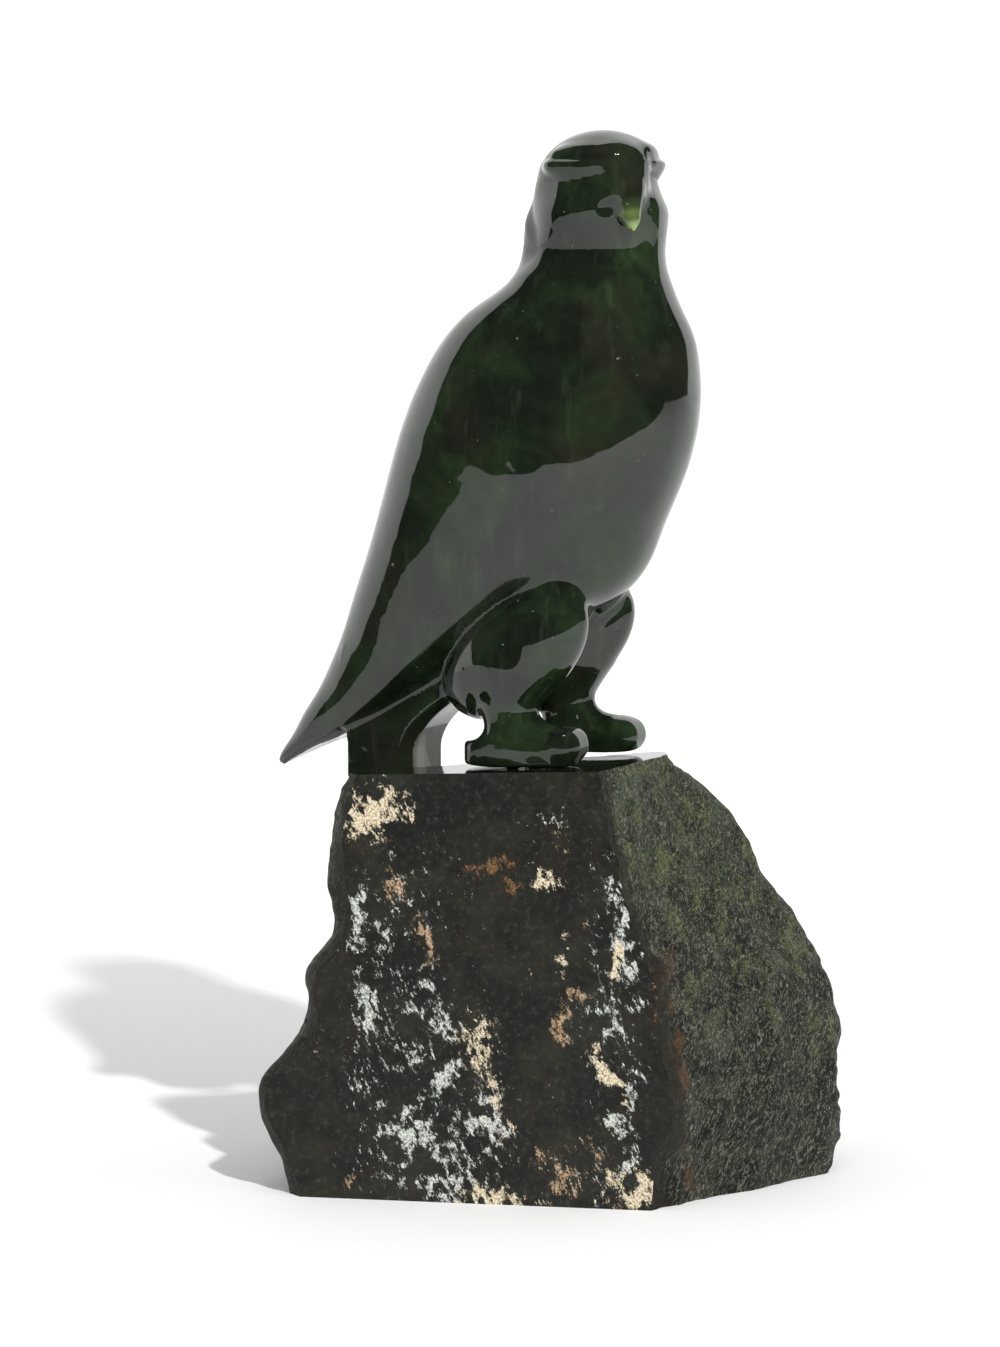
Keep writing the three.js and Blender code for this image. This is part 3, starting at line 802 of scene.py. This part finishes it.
# %% [markdown]
# Jade is a felt of tiny fibres, so it never has one flat colour: it is clouded,
# with darker and greener patches that run into each other. The same clouding is
# used on the carving, on the boulder's polished top and on its ground front, so
# it is a group.

# %% Clouded jade group
clouded, inside, result = new_group(
    "Clouded jade",
    [("Place", "Vector", None), ("Dark", "Color", srgb(22, 28, 20)), ("Green", "Color", srgb(52, 70, 42)),
     ("Cloud size", "Float", 22.0), ("Mottling", "Float", 0.35)],
    [("Color", "Color"), ("Mottle", "Float")],
)
unit = math_node(clouded, "DIVIDE", 1.0, inside["Cloud size"])
clouds = add(clouded, "TexNoise", {
    "Vector": inside["Place"], "Scale": unit, "Detail": 4.0, "Roughness": 0.55, "Distortion": 0.6,
}).outputs[0]
mottle = add(clouded, "TexNoise", {
    "Vector": inside["Place"], "Scale": math_node(clouded, "MULTIPLY", unit, 7.0), "Detail": 3.0,
}).outputs[0]
mixed = mix_colour(clouded, band(clouded, clouds, 0.40, 0.72), inside["Dark"], inside["Green"])
dim = math_node(clouded, "MULTIPLY", band(clouded, mottle, 0.25, 0.75), inside["Mottling"])
clouded.links.new(mix_colour(clouded, dim, mixed, (0.0, 0.0, 0.0, 1.0)), result["Color"])
clouded.links.new(mottle, result["Mottle"])
print("group:", clouded.name, len(clouded.nodes), "nodes")

# %% [markdown]
# Old rind sits on the stone as ragged islands: dense in the middle of a patch and
# breaking up into specks towards its rim. Noise gives the ragged shapes, and the
# cover, from 0 to 1, lowers the level that the noise has to reach. The noise is
# stretched along one direction, because the rind follows the grain of the stone.

# %% Ragged rind group
ragged, inside, result = new_group(
    "Ragged rind",
    [("Place", "Vector", None), ("Cover", "Float", 0.5), ("Size", "Float", 3.0), ("Grain tilt", "Float", 0.4),
     ("Stretch", "Float", 2.0)],
    [("Mask", "Float"), ("Grain", "Float")],
)
turned = add(ragged, "VectorRotate", {
    "Vector": inside["Place"], "Axis": (0.0, 1.0, 0.0), "Angle": inside["Grain tilt"],
}, rotation_type="AXIS_ANGLE").outputs[0]
flat = add(ragged, "CombineXYZ", {0: 1.0, 1: 1.0, 2: math_node(ragged, "DIVIDE", 1.0, inside["Stretch"])})
grainwise = add(ragged, "VectorMath", {0: turned, 1: flat.outputs[0]}, operation="MULTIPLY").outputs[0]
unit = math_node(ragged, "DIVIDE", 1.0, inside["Size"])
shapes = add(ragged, "TexNoise", {
    "Vector": grainwise, "Scale": unit, "Detail": 7.0, "Roughness": 0.82, "Distortion": 0.2,
}).outputs[0]
level = add(ragged, "MapRange", {0: inside["Cover"], 1: 0.0, 2: 1.0, 3: 0.67, 4: 0.44}).outputs[0]
over = math_node(ragged, "SUBTRACT", shapes, level)
ragged.links.new(band(ragged, over, -0.004, 0.012), result["Mask"])
fine = add(ragged, "TexNoise", {"Vector": inside["Place"], "Scale": 1.6, "Detail": 4.0}).outputs[0]
ragged.links.new(fine, result["Grain"])
print("group:", ragged.name, len(ragged.nodes), "nodes")

# %% [markdown]
# A patch is a soft oval on the ground face, given in millimetres across the face
# from its front corner and up from the ground. It only says how much rind there
# is, and the ragged group turns that into islands.

# %% Soft patch group
patch, inside, result = new_group(
    "Soft patch",
    [("Place", "Vector", None), ("Middle", "Vector", None), ("Half size", "Vector", (5.0, 1.0, 5.0)),
     ("Tilt", "Float", 0.0), ("Strength", "Float", 1.0)],
    [("Mask", "Float")],
)
offset = add(patch, "VectorMath", {0: inside["Place"], 1: inside["Middle"]}, operation="SUBTRACT").outputs[0]
level_off = add(patch, "VectorRotate", {
    "Vector": offset, "Axis": (0.0, 1.0, 0.0), "Angle": inside["Tilt"],
}, rotation_type="AXIS_ANGLE").outputs[0]
scaled = add(patch, "VectorMath", {0: level_off, 1: inside["Half size"]}, operation="DIVIDE").outputs[0]
reach = add(patch, "VectorMath", {0: scaled}, operation="LENGTH").outputs["Value"]
patch.links.new(
    math_node(patch, "MULTIPLY", band(patch, reach, 1.8, 0.3), inside["Strength"]), result["Mask"],
)
print("group:", patch.name, len(patch.nodes), "nodes")

# %% [markdown]
# The carving's polish is as glossy as glass, with only a breath of smear. Jade
# bends light more than glass does, which gives its wet shine. Polished by hand, the
# surface is a few hundredths of a millimetre uneven, so its reflections waver.
# The light that thin stone lets through at the tip of the beak is painted into
# its colour as a pale yellow green. The tail's front was left as the tool cut it.

# %% Polished jade
polished, tree, shader = new_material("polished_jade")
place = place_in_mm(tree)
jade = use(tree, clouded, {"Place": place, "Dark": srgb(20, 26, 18), "Green": srgb(34, 49, 28)})
brown = add(tree, "TexNoise", {"Vector": place, "Scale": 0.034, "Detail": 3.0, "Distortion": 0.4}).outputs[0]
colour = mix_colour(tree, math_node(tree, "MULTIPLY", band(tree, brown, 0.50, 0.66), 0.5), jade["Color"], srgb(34, 32, 25))
upright = add(tree, "VectorMath", {0: place, 1: (1.0, 1.0, 0.14)}, operation="MULTIPLY").outputs[0]
streaks = add(tree, "TexNoise", {"Vector": upright, "Scale": 0.22, "Detail": 5.0, "Roughness": 0.62}).outputs[0]
streaked = math_node(tree, "MULTIPLY", band(tree, streaks, 0.54, 0.74), 0.06)
colour = mix_colour(tree, streaked, colour, srgb(112, 128, 98))
specks = add(tree, "TexNoise", {"Vector": place, "Scale": 0.55, "Detail": 2.0}).outputs[0]
colour = mix_colour(tree, math_node(tree, "MULTIPLY", band(tree, specks, 0.74, 0.79), 0.4), colour, srgb(150, 160, 140))
# Painted glow: the light that comes through the thin tip of the beak is mixed into its colour as a pale yellow green.
painted_glow_through = add(tree, "Attribute", attribute_name="thinness").outputs["Fac"]
colour = mix_colour(tree, math_node(tree, "MULTIPLY", painted_glow_through, 0.95), colour, srgb(136, 158, 92))
tooled = add(tree, "Attribute", attribute_name="tooled").outputs["Fac"]
tool_marks = mix_colour(tree, band(tree, streaks, 0.35, 0.6), srgb(72, 72, 66), srgb(106, 105, 98))
colour = mix_colour(tree, tooled, colour, tool_marks)
tree.links.new(colour, shader.inputs["Base Color"])
smears = add(tree, "TexNoise", {"Vector": place, "Scale": 0.05, "Detail": 3.0}).outputs[0]
roughness = add(tree, "MapRange", {0: smears, 1: 0.3, 2: 0.7, 3: 0.02, 4: 0.05}).outputs[0]
tree.links.new(math_node(tree, "MULTIPLY_ADD", tooled, 0.45, roughness), shader.inputs["Roughness"])
slow = add(tree, "TexNoise", {"Vector": place, "Scale": 0.07, "Detail": 1.0}).outputs[0]
quick = add(tree, "TexNoise", {"Vector": place, "Scale": 0.22, "Detail": 1.0}).outputs[0]
uneven = math_node(tree, "MULTIPLY_ADD", quick, 0.10, slow)
tree.links.new(
    add(tree, "Bump", {"Height": uneven, "Strength": 1.0, "Distance": 0.34 * MM}).outputs[0], shader.inputs["Normal"],
)
shader.inputs["IOR"].default_value = 1.58
eagle.data.materials.append(polished)
print("polished jade:", len(tree.nodes), "nodes")

# %% [markdown]
# The rind's patches on the ground front, in three colours. Each row is one patch:
# millimetres across and up to its middle, its half width and half height, its
# tilt in degrees with the top leaning left, and how densely the rind covers it.

# %% Patches of rind
CHALK = (
    (-54, 58, 16, 42, 0, 0.48), (-44, 14, 22, 22, 0, 0.60), (6, 62, 11, 42, 0, 0.46), (4, 6, 18, 12, 0, 0.42),
    (-65, 80, 3, 11, -9, 0.95), (-66, 68, 3, 6, 0, 1.0), (-62, 54, 4, 8, 5, 0.95), (-56, 71, 3, 9, 12, 0.7),
    (-57, 64, 3, 3, 0, 0.75), (-46, 58, 5, 5, 0, 0.85), (-49, 46, 5, 11, 12, 0.7), (-40, 49, 5, 8, 30, 0.75),
    (-40, 35, 4, 7, -45, 0.9), (-64, 33, 5, 9, -30, 0.55), (-58, 26, 2, 3, 0, 0.6), (-50, 20, 8, 9, 0, 0.95),
    (-28, 22, 6, 12, 0, 0.85), (-40, 8, 9, 10, 20, 0.85), (-55, 4, 2, 3, 0, 0.8), (-49, -5, 6, 5, 0, 0.85),
    (-35, -3, 6, 4, 0, 0.7), (13, 33, 3, 7, 0, 0.8), (6, 51, 5, 8, 5, 0.9), (7, 87, 4, 5, 0, 0.85),
    (2, 94, 2, 6, 15, 0.6), (8, 76, 4, 9, -5, 0.9), (11, 67, 3, 8, -5, 0.8), (-10, 105, 4, 6, 10, 0.55),
    (-16, 96, 2, 9, 0, 0.35), (14, 55, 3, 3, 0, 0.6), (12, 14, 3, 8, -10, 0.75), (9, 24, 3, 7, 25, 0.8),
)
CREAM = (
    (-61, 107, 10, 8, 0, 1.0), (-50, 107, 1.3, 2.4, 0, 0.9), (-30, 43, 5, 10, 5, 0.85), (-24, 28, 2, 11, 22, 0.8),
    (-27, 0, 9, 7, 0, 1.0), (-14, -6, 8, 5, 0, 0.95), (4, 40, 3, 7, 15, 0.95), (8, 34, 3, 7, 30, 0.95),
    (7, 68, 2.5, 6, 0, 0.95), (16, 3, 6, 8, 0, 1.1), (8, 8, 4, 3, 0, 0.9), (-13, 89, 5, 3, 0, 0.85),
    (-8, 70, 2, 7, -5, 0.7), (-75, 42, 3, 3, 0, 0.4), (-17, 62, 1.4, 9, -15, 0.45),
)
TAN = (
    (-55, 87, 3, 5, 15, 0.9), (-46, 73, 2.5, 9, 20, 0.95), (-4, 58, 5, 4, 25, 0.85), (-7, 50, 3, 7, -5, 0.9),
    (-1, 13, 5, 7, 0, 0.7), (-3, 2, 4, 7, 0, 0.65), (-7, -5, 6, 5, 0, 0.9), (-12, 13, 6, 4, 0, 0.75),
    (-6, 6, 5, 6, 0, 0.85), (-9, 99, 2, 4, 0, 0.7), (19, 70, 2, 5, -10, 0.6), (-26, 20, 2, 9, 22, 0.5),
    (-86, 5, 2, 6, 15, 0.7), (-66, 4, 3, 4, 0, 0.55), (9, 3, 4, 5, 0, 0.7),
)
RUST = (
    (25, 34, 2, 6, 0, 0.9), (25, 19, 1.5, 6, 0, 0.8), (26, 8, 1.5, 5, 0, 0.8), (22, 55, 2, 6, -8, 0.6),
    (15, 92, 4, 6, -20, 0.5), (19, 62, 2.5, 10, -10, 0.8), (23, 44, 2.5, 8, -5, 0.85),
    (-27, 93, 6, 2.5, 20, 0.95), (-38, 95, 7, 2.5, -8, 0.85), (-21, 88, 2.5, 4, 0, 0.9), (-7, 49, 2, 6, 0, 0.8), (-1, 77, 1.3, 2, 0, 0.8),
)
print("patches of rind:", len(CHALK) + len(CREAM) + len(TAN) + len(RUST))
face_right = (math.cos(FRONT_YAW), -math.sin(FRONT_YAW), 0.0)
face_back = (math.sin(FRONT_YAW), math.cos(FRONT_YAW), 0.0)
face_corner = to_scene((*FRONT_CORNER, 0.0)) / MM


def on_the_face(tree, place):
    """The place on the front face: millimetres across from its corner, and up."""
    from_corner = add(tree, "VectorMath", {0: place, 1: tuple(face_corner)}, operation="SUBTRACT").outputs[0]
    across = add(tree, "VectorMath", {0: from_corner, 1: face_right}, operation="DOT_PRODUCT").outputs["Value"]
    up = add(tree, "SeparateXYZ", {0: place}).outputs["Z"]
    return add(tree, "CombineXYZ", {0: across, 2: up}).outputs[0]


def cover_of(tree, place, rows):
    """How much rind the patches lay on each place."""
    cover = 0.0
    for across, up, half_width, half_height, tilt, strength in rows:
        mask = use(tree, patch, {
            "Place": place, "Middle": (across, 0, up), "Half size": (half_width, 1, half_height),
            "Tilt": math.radians(tilt), "Strength": strength,
        })["Mask"]
        cover = math_node(tree, "MAXIMUM", cover, mask)
    return cover


# %% [markdown]
# The front was ground flat but not polished: a dull satin, nearly black, with the
# rind let into it like frost. A low bump keeps the rind a little proud of the
# stone, and the stone under it shows faint saw scratches.

# %% Ground front
ground, tree, shader = new_material("ground_jade")
place = place_in_mm(tree)
face = on_the_face(tree, place)
wander = add(tree, "TexNoise", {"Vector": place, "Scale": 0.12, "Detail": 3.0}).outputs["Color"]
wander = add(tree, "VectorMath", {0: wander, 1: (0.5, 0.5, 0.5)}, operation="SUBTRACT").outputs[0]
wander = add(tree, "VectorMath", {0: wander, "Scale": 9.0}, operation="SCALE").outputs[0]
strayed = add(tree, "VectorMath", {0: face, 1: wander}).outputs[0]
stone = use(tree, clouded, {
    "Place": place, "Dark": srgb(23, 24, 21), "Green": srgb(37, 39, 32), "Cloud size": 16.0, "Mottling": 0.3,
})
colour = stone["Color"]
haze = add(tree, "TexNoise", {"Vector": face, "Scale": 0.5, "Detail": 6.0, "Roughness": 0.7}).outputs[0]
colour = mix_colour(tree, math_node(tree, "MULTIPLY", band(tree, haze, 0.50, 0.68), 0.35), colour, srgb(74, 72, 60))
stained = add(tree, "TexNoise", {"Vector": face, "Scale": 0.05, "Detail": 5.0, "Roughness": 0.65}).outputs[0]
colour = mix_colour(tree, math_node(tree, "MULTIPLY", band(tree, stained, 0.48, 0.62), 0.3), colour, srgb(50, 43, 31))
masks = []
for rows, light_tone, dark_tone, size in (
    (RUST, srgb(118, 88, 56), srgb(62, 50, 34), 1.5), (TAN, srgb(172, 146, 116), srgb(96, 78, 58), 1.6),
    (CHALK, srgb(200, 202, 194), srgb(120, 124, 120), 1.8), (CREAM, srgb(212, 202, 176), srgb(146, 128, 98), 2.0),
):
    cover = cover_of(tree, strayed, rows)
    rind = use(tree, ragged, {"Place": face, "Cover": cover, "Size": size, "Grain tilt": 0.45, "Stretch": 2.0})
    tone = mix_colour(tree, band(tree, rind["Grain"], 0.35, 0.6), dark_tone, light_tone)
    colour = mix_colour(tree, rind["Mask"], colour, tone)
    masks.append(rind["Mask"])
tree.links.new(colour, shader.inputs["Base Color"])
rind_mask = masks[0]
for mask in masks[1:]:
    rind_mask = math_node(tree, "MAXIMUM", rind_mask, mask)
roughness = add(tree, "MapRange", {0: rind_mask, 1: 0.0, 2: 1.0, 3: 0.46, 4: 0.8}).outputs[0]
tree.links.new(roughness, shader.inputs["Roughness"])
scratches = add(tree, "TexNoise", {
    "Vector": add(tree, "VectorMath", {0: face, 1: (0.25, 1.0, 3.0)}, operation="MULTIPLY").outputs[0],
    "Scale": 1.1, "Detail": 4.0,
}).outputs[0]
height = math_node(tree, "MULTIPLY_ADD", rind_mask, 0.25, math_node(tree, "MULTIPLY", scratches, 0.12))
tree.links.new(
    add(tree, "Bump", {"Height": height, "Strength": 0.35, "Distance": 0.6 * MM}).outputs[0], shader.inputs["Normal"],
)
shader.inputs["Specular IOR Level"].default_value = 0.3
print("ground jade:", len(tree.nodes), "nodes")

# %% [markdown]
# The broken sides keep the skin that weather and moss gave them: grey olive stone
# with yellow green patches, a fine pale felt of fibres standing in it, and brown
# stains where it meets the ground front. Its pits are darkened with painted shade,
# and its upper slope is lighter and greener, partly moss and partly painted sheen.
# This finish has the strongest bump.

# %% Mossy rind
mossy, tree, shader = new_material("mossy_rind")
place = place_in_mm(tree)
stone = use(tree, clouded, {
    "Place": place, "Dark": srgb(32, 34, 29), "Green": srgb(88, 92, 74), "Cloud size": 12.0, "Mottling": 0.3,
})
where = add(tree, "SeparateXYZ", {0: place}).outputs
# Lighter and greener towards the top: partly the moss's green, partly a painted sheen where the upper slope catches the
# light.
high = band(tree, where["Z"], 62.0, 108.0)
colour = mix_colour(tree, math_node(tree, "MULTIPLY", high, 0.4), stone["Color"], srgb(84, 98, 70))
moss_cover = math_node(tree, "MULTIPLY", band(tree, where["Z"], 0.0, 70.0), band(tree, where["X"], -50.0, 30.0))
moss_cover = math_node(tree, "MULTIPLY", moss_cover, 0.62)
moss = use(tree, ragged, {"Place": place, "Cover": moss_cover, "Size": 9.0, "Grain tilt": -0.5, "Stretch": 1.4})
moss_tone = mix_colour(tree, band(tree, moss["Grain"], 0.38, 0.62), srgb(66, 74, 34), srgb(134, 140, 82))
colour = mix_colour(tree, math_node(tree, "MULTIPLY", moss["Mask"], 0.75), colour, moss_tone)
# Painted shade: the pits, and finer pits that have no bump of their own, are darkened in the colour as if shadowed.
pits = add(tree, "TexNoise", {"Vector": place, "Scale": 0.14, "Detail": 10.0, "Roughness": 0.72}).outputs[0]
painted_pit_shade = math_node(tree, "MULTIPLY", band(tree, pits, 0.54, 0.38), 0.85)
colour = mix_colour(tree, painted_pit_shade, colour, srgb(18, 19, 16))
fine_pit_shade = add(tree, "TexNoise", {"Vector": place, "Scale": 0.55, "Detail": 6.0, "Roughness": 0.7}).outputs[0]
colour = mix_colour(tree, math_node(tree, "MULTIPLY", band(tree, fine_pit_shade, 0.48, 0.36), 0.6), colour, srgb(18, 19, 16))
slanted = add(tree, "VectorRotate", {
    "Vector": place, "Axis": (0.0, 1.0, 0.0), "Angle": math.radians(-38),
}, rotation_type="AXIS_ANGLE").outputs[0]
slanted = add(tree, "VectorMath", {0: slanted, 1: (1.0, 1.0, 0.3)}, operation="MULTIPLY").outputs[0]
fibres = add(tree, "TexNoise", {
    "Vector": slanted, "Scale": 1.1, "Detail": 7.0, "Roughness": 0.8, "Distortion": 1.2,
}).outputs[0]
fibre_mask = math_node(tree, "MULTIPLY", band(tree, fibres, 0.52, 0.59), 0.8)
colour = mix_colour(tree, fibre_mask, colour, srgb(176, 178, 154))
behind = add(tree, "VectorMath", {0: place, 1: tuple(face_corner)}, operation="SUBTRACT").outputs[0]
behind = add(tree, "VectorMath", {0: behind, 1: face_back}, operation="DOT_PRODUCT").outputs["Value"]
stain_cover = math_node(
    tree, "MULTIPLY", cover_of(tree, on_the_face(tree, place), RUST), band(tree, behind, 24.0, 8.0),
)
stain = use(tree, ragged, {"Place": place, "Cover": stain_cover, "Size": 3.0})
colour = mix_colour(tree, math_node(tree, "MULTIPLY", stain["Mask"], 0.8), colour, srgb(112, 80, 48))
frayed = math_node(tree, "MULTIPLY_ADD", pits, 16.0, behind)
colour = mix_colour(tree, math_node(tree, "MULTIPLY", band(tree, frayed, 13.0, 9.0), 0.8), colour, srgb(40, 38, 30))
tree.links.new(colour, shader.inputs["Base Color"])
shader.inputs["Roughness"].default_value = 0.72
tree.links.new(
    add(tree, "Bump", {"Height": pits, "Strength": 1.0, "Distance": 12.0 * MM}).outputs[0], shader.inputs["Normal"],
)
print("mossy rind:", len(tree.nodes), "nodes")

# %% [markdown]
# The top is polished like the carving, and the sawn underside is dull and plain.

# %% Polished top and sawn underside
top_jade, tree, shader = new_material("polished_top")
place = place_in_mm(tree)
jade = use(tree, clouded, {"Place": place, "Dark": srgb(24, 28, 22), "Green": srgb(40, 48, 32), "Cloud size": 15.0})
tree.links.new(jade["Color"], shader.inputs["Base Color"])
smears = add(tree, "TexNoise", {"Vector": place, "Scale": 0.2, "Detail": 3.0}).outputs[0]
roughness = add(tree, "MapRange", {0: smears, 1: 0.3, 2: 0.7, 3: 0.03, 4: 0.09}).outputs[0]
tree.links.new(roughness, shader.inputs["Roughness"])
shader.inputs["IOR"].default_value = 1.62

sawn, tree, shader = new_material("sawn_jade")
place = place_in_mm(tree)
jade = use(tree, clouded, {"Place": place, "Dark": srgb(40, 42, 38), "Green": srgb(66, 70, 58)})
tree.links.new(jade["Color"], shader.inputs["Base Color"])
shader.inputs["Roughness"].default_value = 0.6
saw_marks = add(tree, "TexWave", {"Vector": place, "Scale": 0.5, "Distortion": 2.0, "Detail": 2.0}).outputs["Fac"]
tree.links.new(
    add(tree, "Bump", {"Height": saw_marks, "Strength": 0.3, "Distance": 0.3 * MM}).outputs[0],
    shader.inputs["Normal"],
)
for material in (mossy, ground, top_jade, sawn):
    boulder.data.materials.append(material)
print("finishes on the boulder:", [slot.name for slot in boulder.data.materials])

# %% [markdown]
# The dowel is a plain steel pin. Only a few millimetres of it show, in the gap
# under the near foot, in a dull dark grey.

# %% Dowel
steel, tree, shader = new_material("pin_steel")
place = place_in_mm(tree)
# A mottle between dark and lighter grey, darker and duller than bare steel, in both colour and roughness.
dull_mottle = add(tree, "TexNoise", {"Vector": place, "Scale": 1.4, "Detail": 4.0}).outputs[0]
tree.links.new(mix_colour(tree, dull_mottle, srgb(58, 56, 52), srgb(104, 100, 94)), shader.inputs["Base Color"])
roughness = add(tree, "MapRange", {0: dull_mottle, 1: 0.3, 2: 0.7, 3: 0.3, 4: 0.55}).outputs[0]
tree.links.new(roughness, shader.inputs["Roughness"])
shader.inputs["Metallic"].default_value = 1.0
for slot in frame["nodes"]["foot_pin"].material_slots:
    slot.material = steel
print("dowel finish on", frame["nodes"]["foot_pin"].name)

# %% [markdown]
# The carving was photographed on a white table that ends a little in front of it,
# in a room that is white behind and beside it and dark towards the camera. The
# polished stone shows all of that: its belly mirrors the table, and its breast the
# dark room. So the table is as long as the one in the photograph.

# %% Table
TABLE_FRONT, TABLE_BACK = -560.0, 6000.0
TABLE_LEFT, TABLE_RIGHT = -1000.0, 2500.0
table_mesh = bpy.data.meshes.new("table")
table_mesh.from_pydata([
    (TABLE_LEFT * MM, TABLE_FRONT * MM, 0), (TABLE_RIGHT * MM, TABLE_FRONT * MM, 0),
    (TABLE_RIGHT * MM, TABLE_BACK * MM, 0), (TABLE_LEFT * MM, TABLE_BACK * MM, 0),
], [], [(0, 1, 2, 3)])
table = bpy.data.objects.new("table", table_mesh)
bpy.context.scene.collection.objects.link(table)
white, tree, shader = new_material("white_table")
shader.inputs["Base Color"].default_value = (0.85, 0.85, 0.85, 1.0)
shader.inputs["Roughness"].default_value = 0.7
shader.inputs["Specular IOR Level"].default_value = 0.2
shader.inputs["Emission Color"].default_value = (1.0, 1.0, 1.0, 1.0)
distance = add(tree, "SeparateXYZ", {0: place_in_mm(tree)}).outputs["Y"]
backdrop_light = add(tree, "MapRange", {0: distance, 1: 0.0, 2: 1500.0, 3: 0.0, 4: 0.6}).outputs[0]
tree.links.new(backdrop_light, shader.inputs["Emission Strength"])
table.data.materials.append(white)
table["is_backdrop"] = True

# %% [markdown]
# The room is the world. The camera sees plain white. A reflection sees white
# walls behind and beside the carving, with a sharp edge to a dark room in front
# and overhead: that edge runs down the polished back and over the crown. Matt
# surfaces get one even, soft light. A small lamp at the right of the camera
# throws the cast shadow and is kept out of the reflections. A smaller and higher
# one makes the hard highlights, and a soft box at the left the larger ones.

# %% Room and lamps
WALL_EDGE = 0.395
world = bpy.data.worlds.new("studio")
bpy.context.scene.world = world
world.use_nodes = True
tree = world.node_tree
room = tree.nodes["Background"]
direction = add(tree, "TexCoord").outputs["Generated"]
away = add(tree, "VectorMath", {0: direction, 1: (-0.158, 1.0, -0.256)}, operation="DOT_PRODUCT").outputs["Value"]
walls = add(tree, "MapRange", {0: away, 1: WALL_EDGE - 0.01, 2: WALL_EDGE + 0.01, 3: 0.045, 4: 1.3}).outputs[0]
path = add(tree, "LightPath").outputs
soft = add(tree, "Mix", {0: path["Is Diffuse Ray"], 2: walls, 3: 0.62}).outputs[0]
glow = add(tree, "Mix", {0: path["Is Camera Ray"], 2: soft, 3: 1.6}).outputs[0]
tree.links.new(glow, room.inputs["Strength"])
room.inputs["Color"].default_value = (1.0, 1.0, 1.0, 1.0)


def lamp(name, place, target, width, height, power):
    light = bpy.data.lights.new(name, "AREA")
    light.shape, light.size, light.size_y, light.energy = "RECTANGLE", width * MM, height * MM, power
    made = bpy.data.objects.new(name, light)
    made.location = to_scene(place)
    made.rotation_euler = (Vector(to_scene(target)) - made.location).to_track_quat("-Z", "Y").to_euler()
    bpy.context.scene.collection.objects.link(made)
    return made


def lamp_place(side, height, distance):
    """Where a lamp stands: degrees round from the camera, degrees up, and how far away."""
    side, height = math.radians(side), math.radians(height)
    level = distance * math.cos(height)
    return level * math.sin(side), -level * math.cos(side), distance * math.sin(height)


key = lamp("key", lamp_place(21, 37.6, 2600), (0, 0, 120), 70, 110, 64)
key.visible_glossy = False
lamp("spark", lamp_place(14, 80, 2400), (0, 0, 180), 60, 60, 1.2)
lamp("soft box", lamp_place(-20, 78, 2400), (0, 0, 180), 180, 180, 2.2)
print("key lamp at mm:", [round(v) for v in lamp_place(21, 37.6, 2600)])

# %% [markdown]
# The camera looks slightly down, from a metre and a half away, at the height and
# angle of the photograph. The colours are shown as they are, without a film look.

# %% Camera
CAMERA_PLACE = (-16.5, -1600.0, 299.0)
CAMERA_AIM = (-16.5, 0.0, 142.0)
LENS_MM = 154.0
SENSOR_MM = 36.0
camera_data = bpy.data.cameras.new("camera")
camera_data.lens = LENS_MM
camera_data.sensor_fit = "VERTICAL"
camera_data.sensor_height = SENSOR_MM
camera_data.clip_start, camera_data.clip_end = 0.01, 50
camera = bpy.data.objects.new("camera", camera_data)
camera.location = to_scene(CAMERA_PLACE)
camera.rotation_euler = (Vector(to_scene(CAMERA_AIM)) - camera.location).to_track_quat("-Z", "Y").to_euler()
bpy.context.scene.collection.objects.link(camera)
bpy.context.scene.camera = camera
bpy.context.scene.view_settings.view_transform = "Standard"

# %% [markdown]
# The dressed object has to stay inside the solids' box, within a few percent. The
# size of the dressed object, in millimetres.

# %% Sizes
low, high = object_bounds()
print("dressed, mm:", [round((b - a) / MM, 1) for a, b in zip(low, high)])
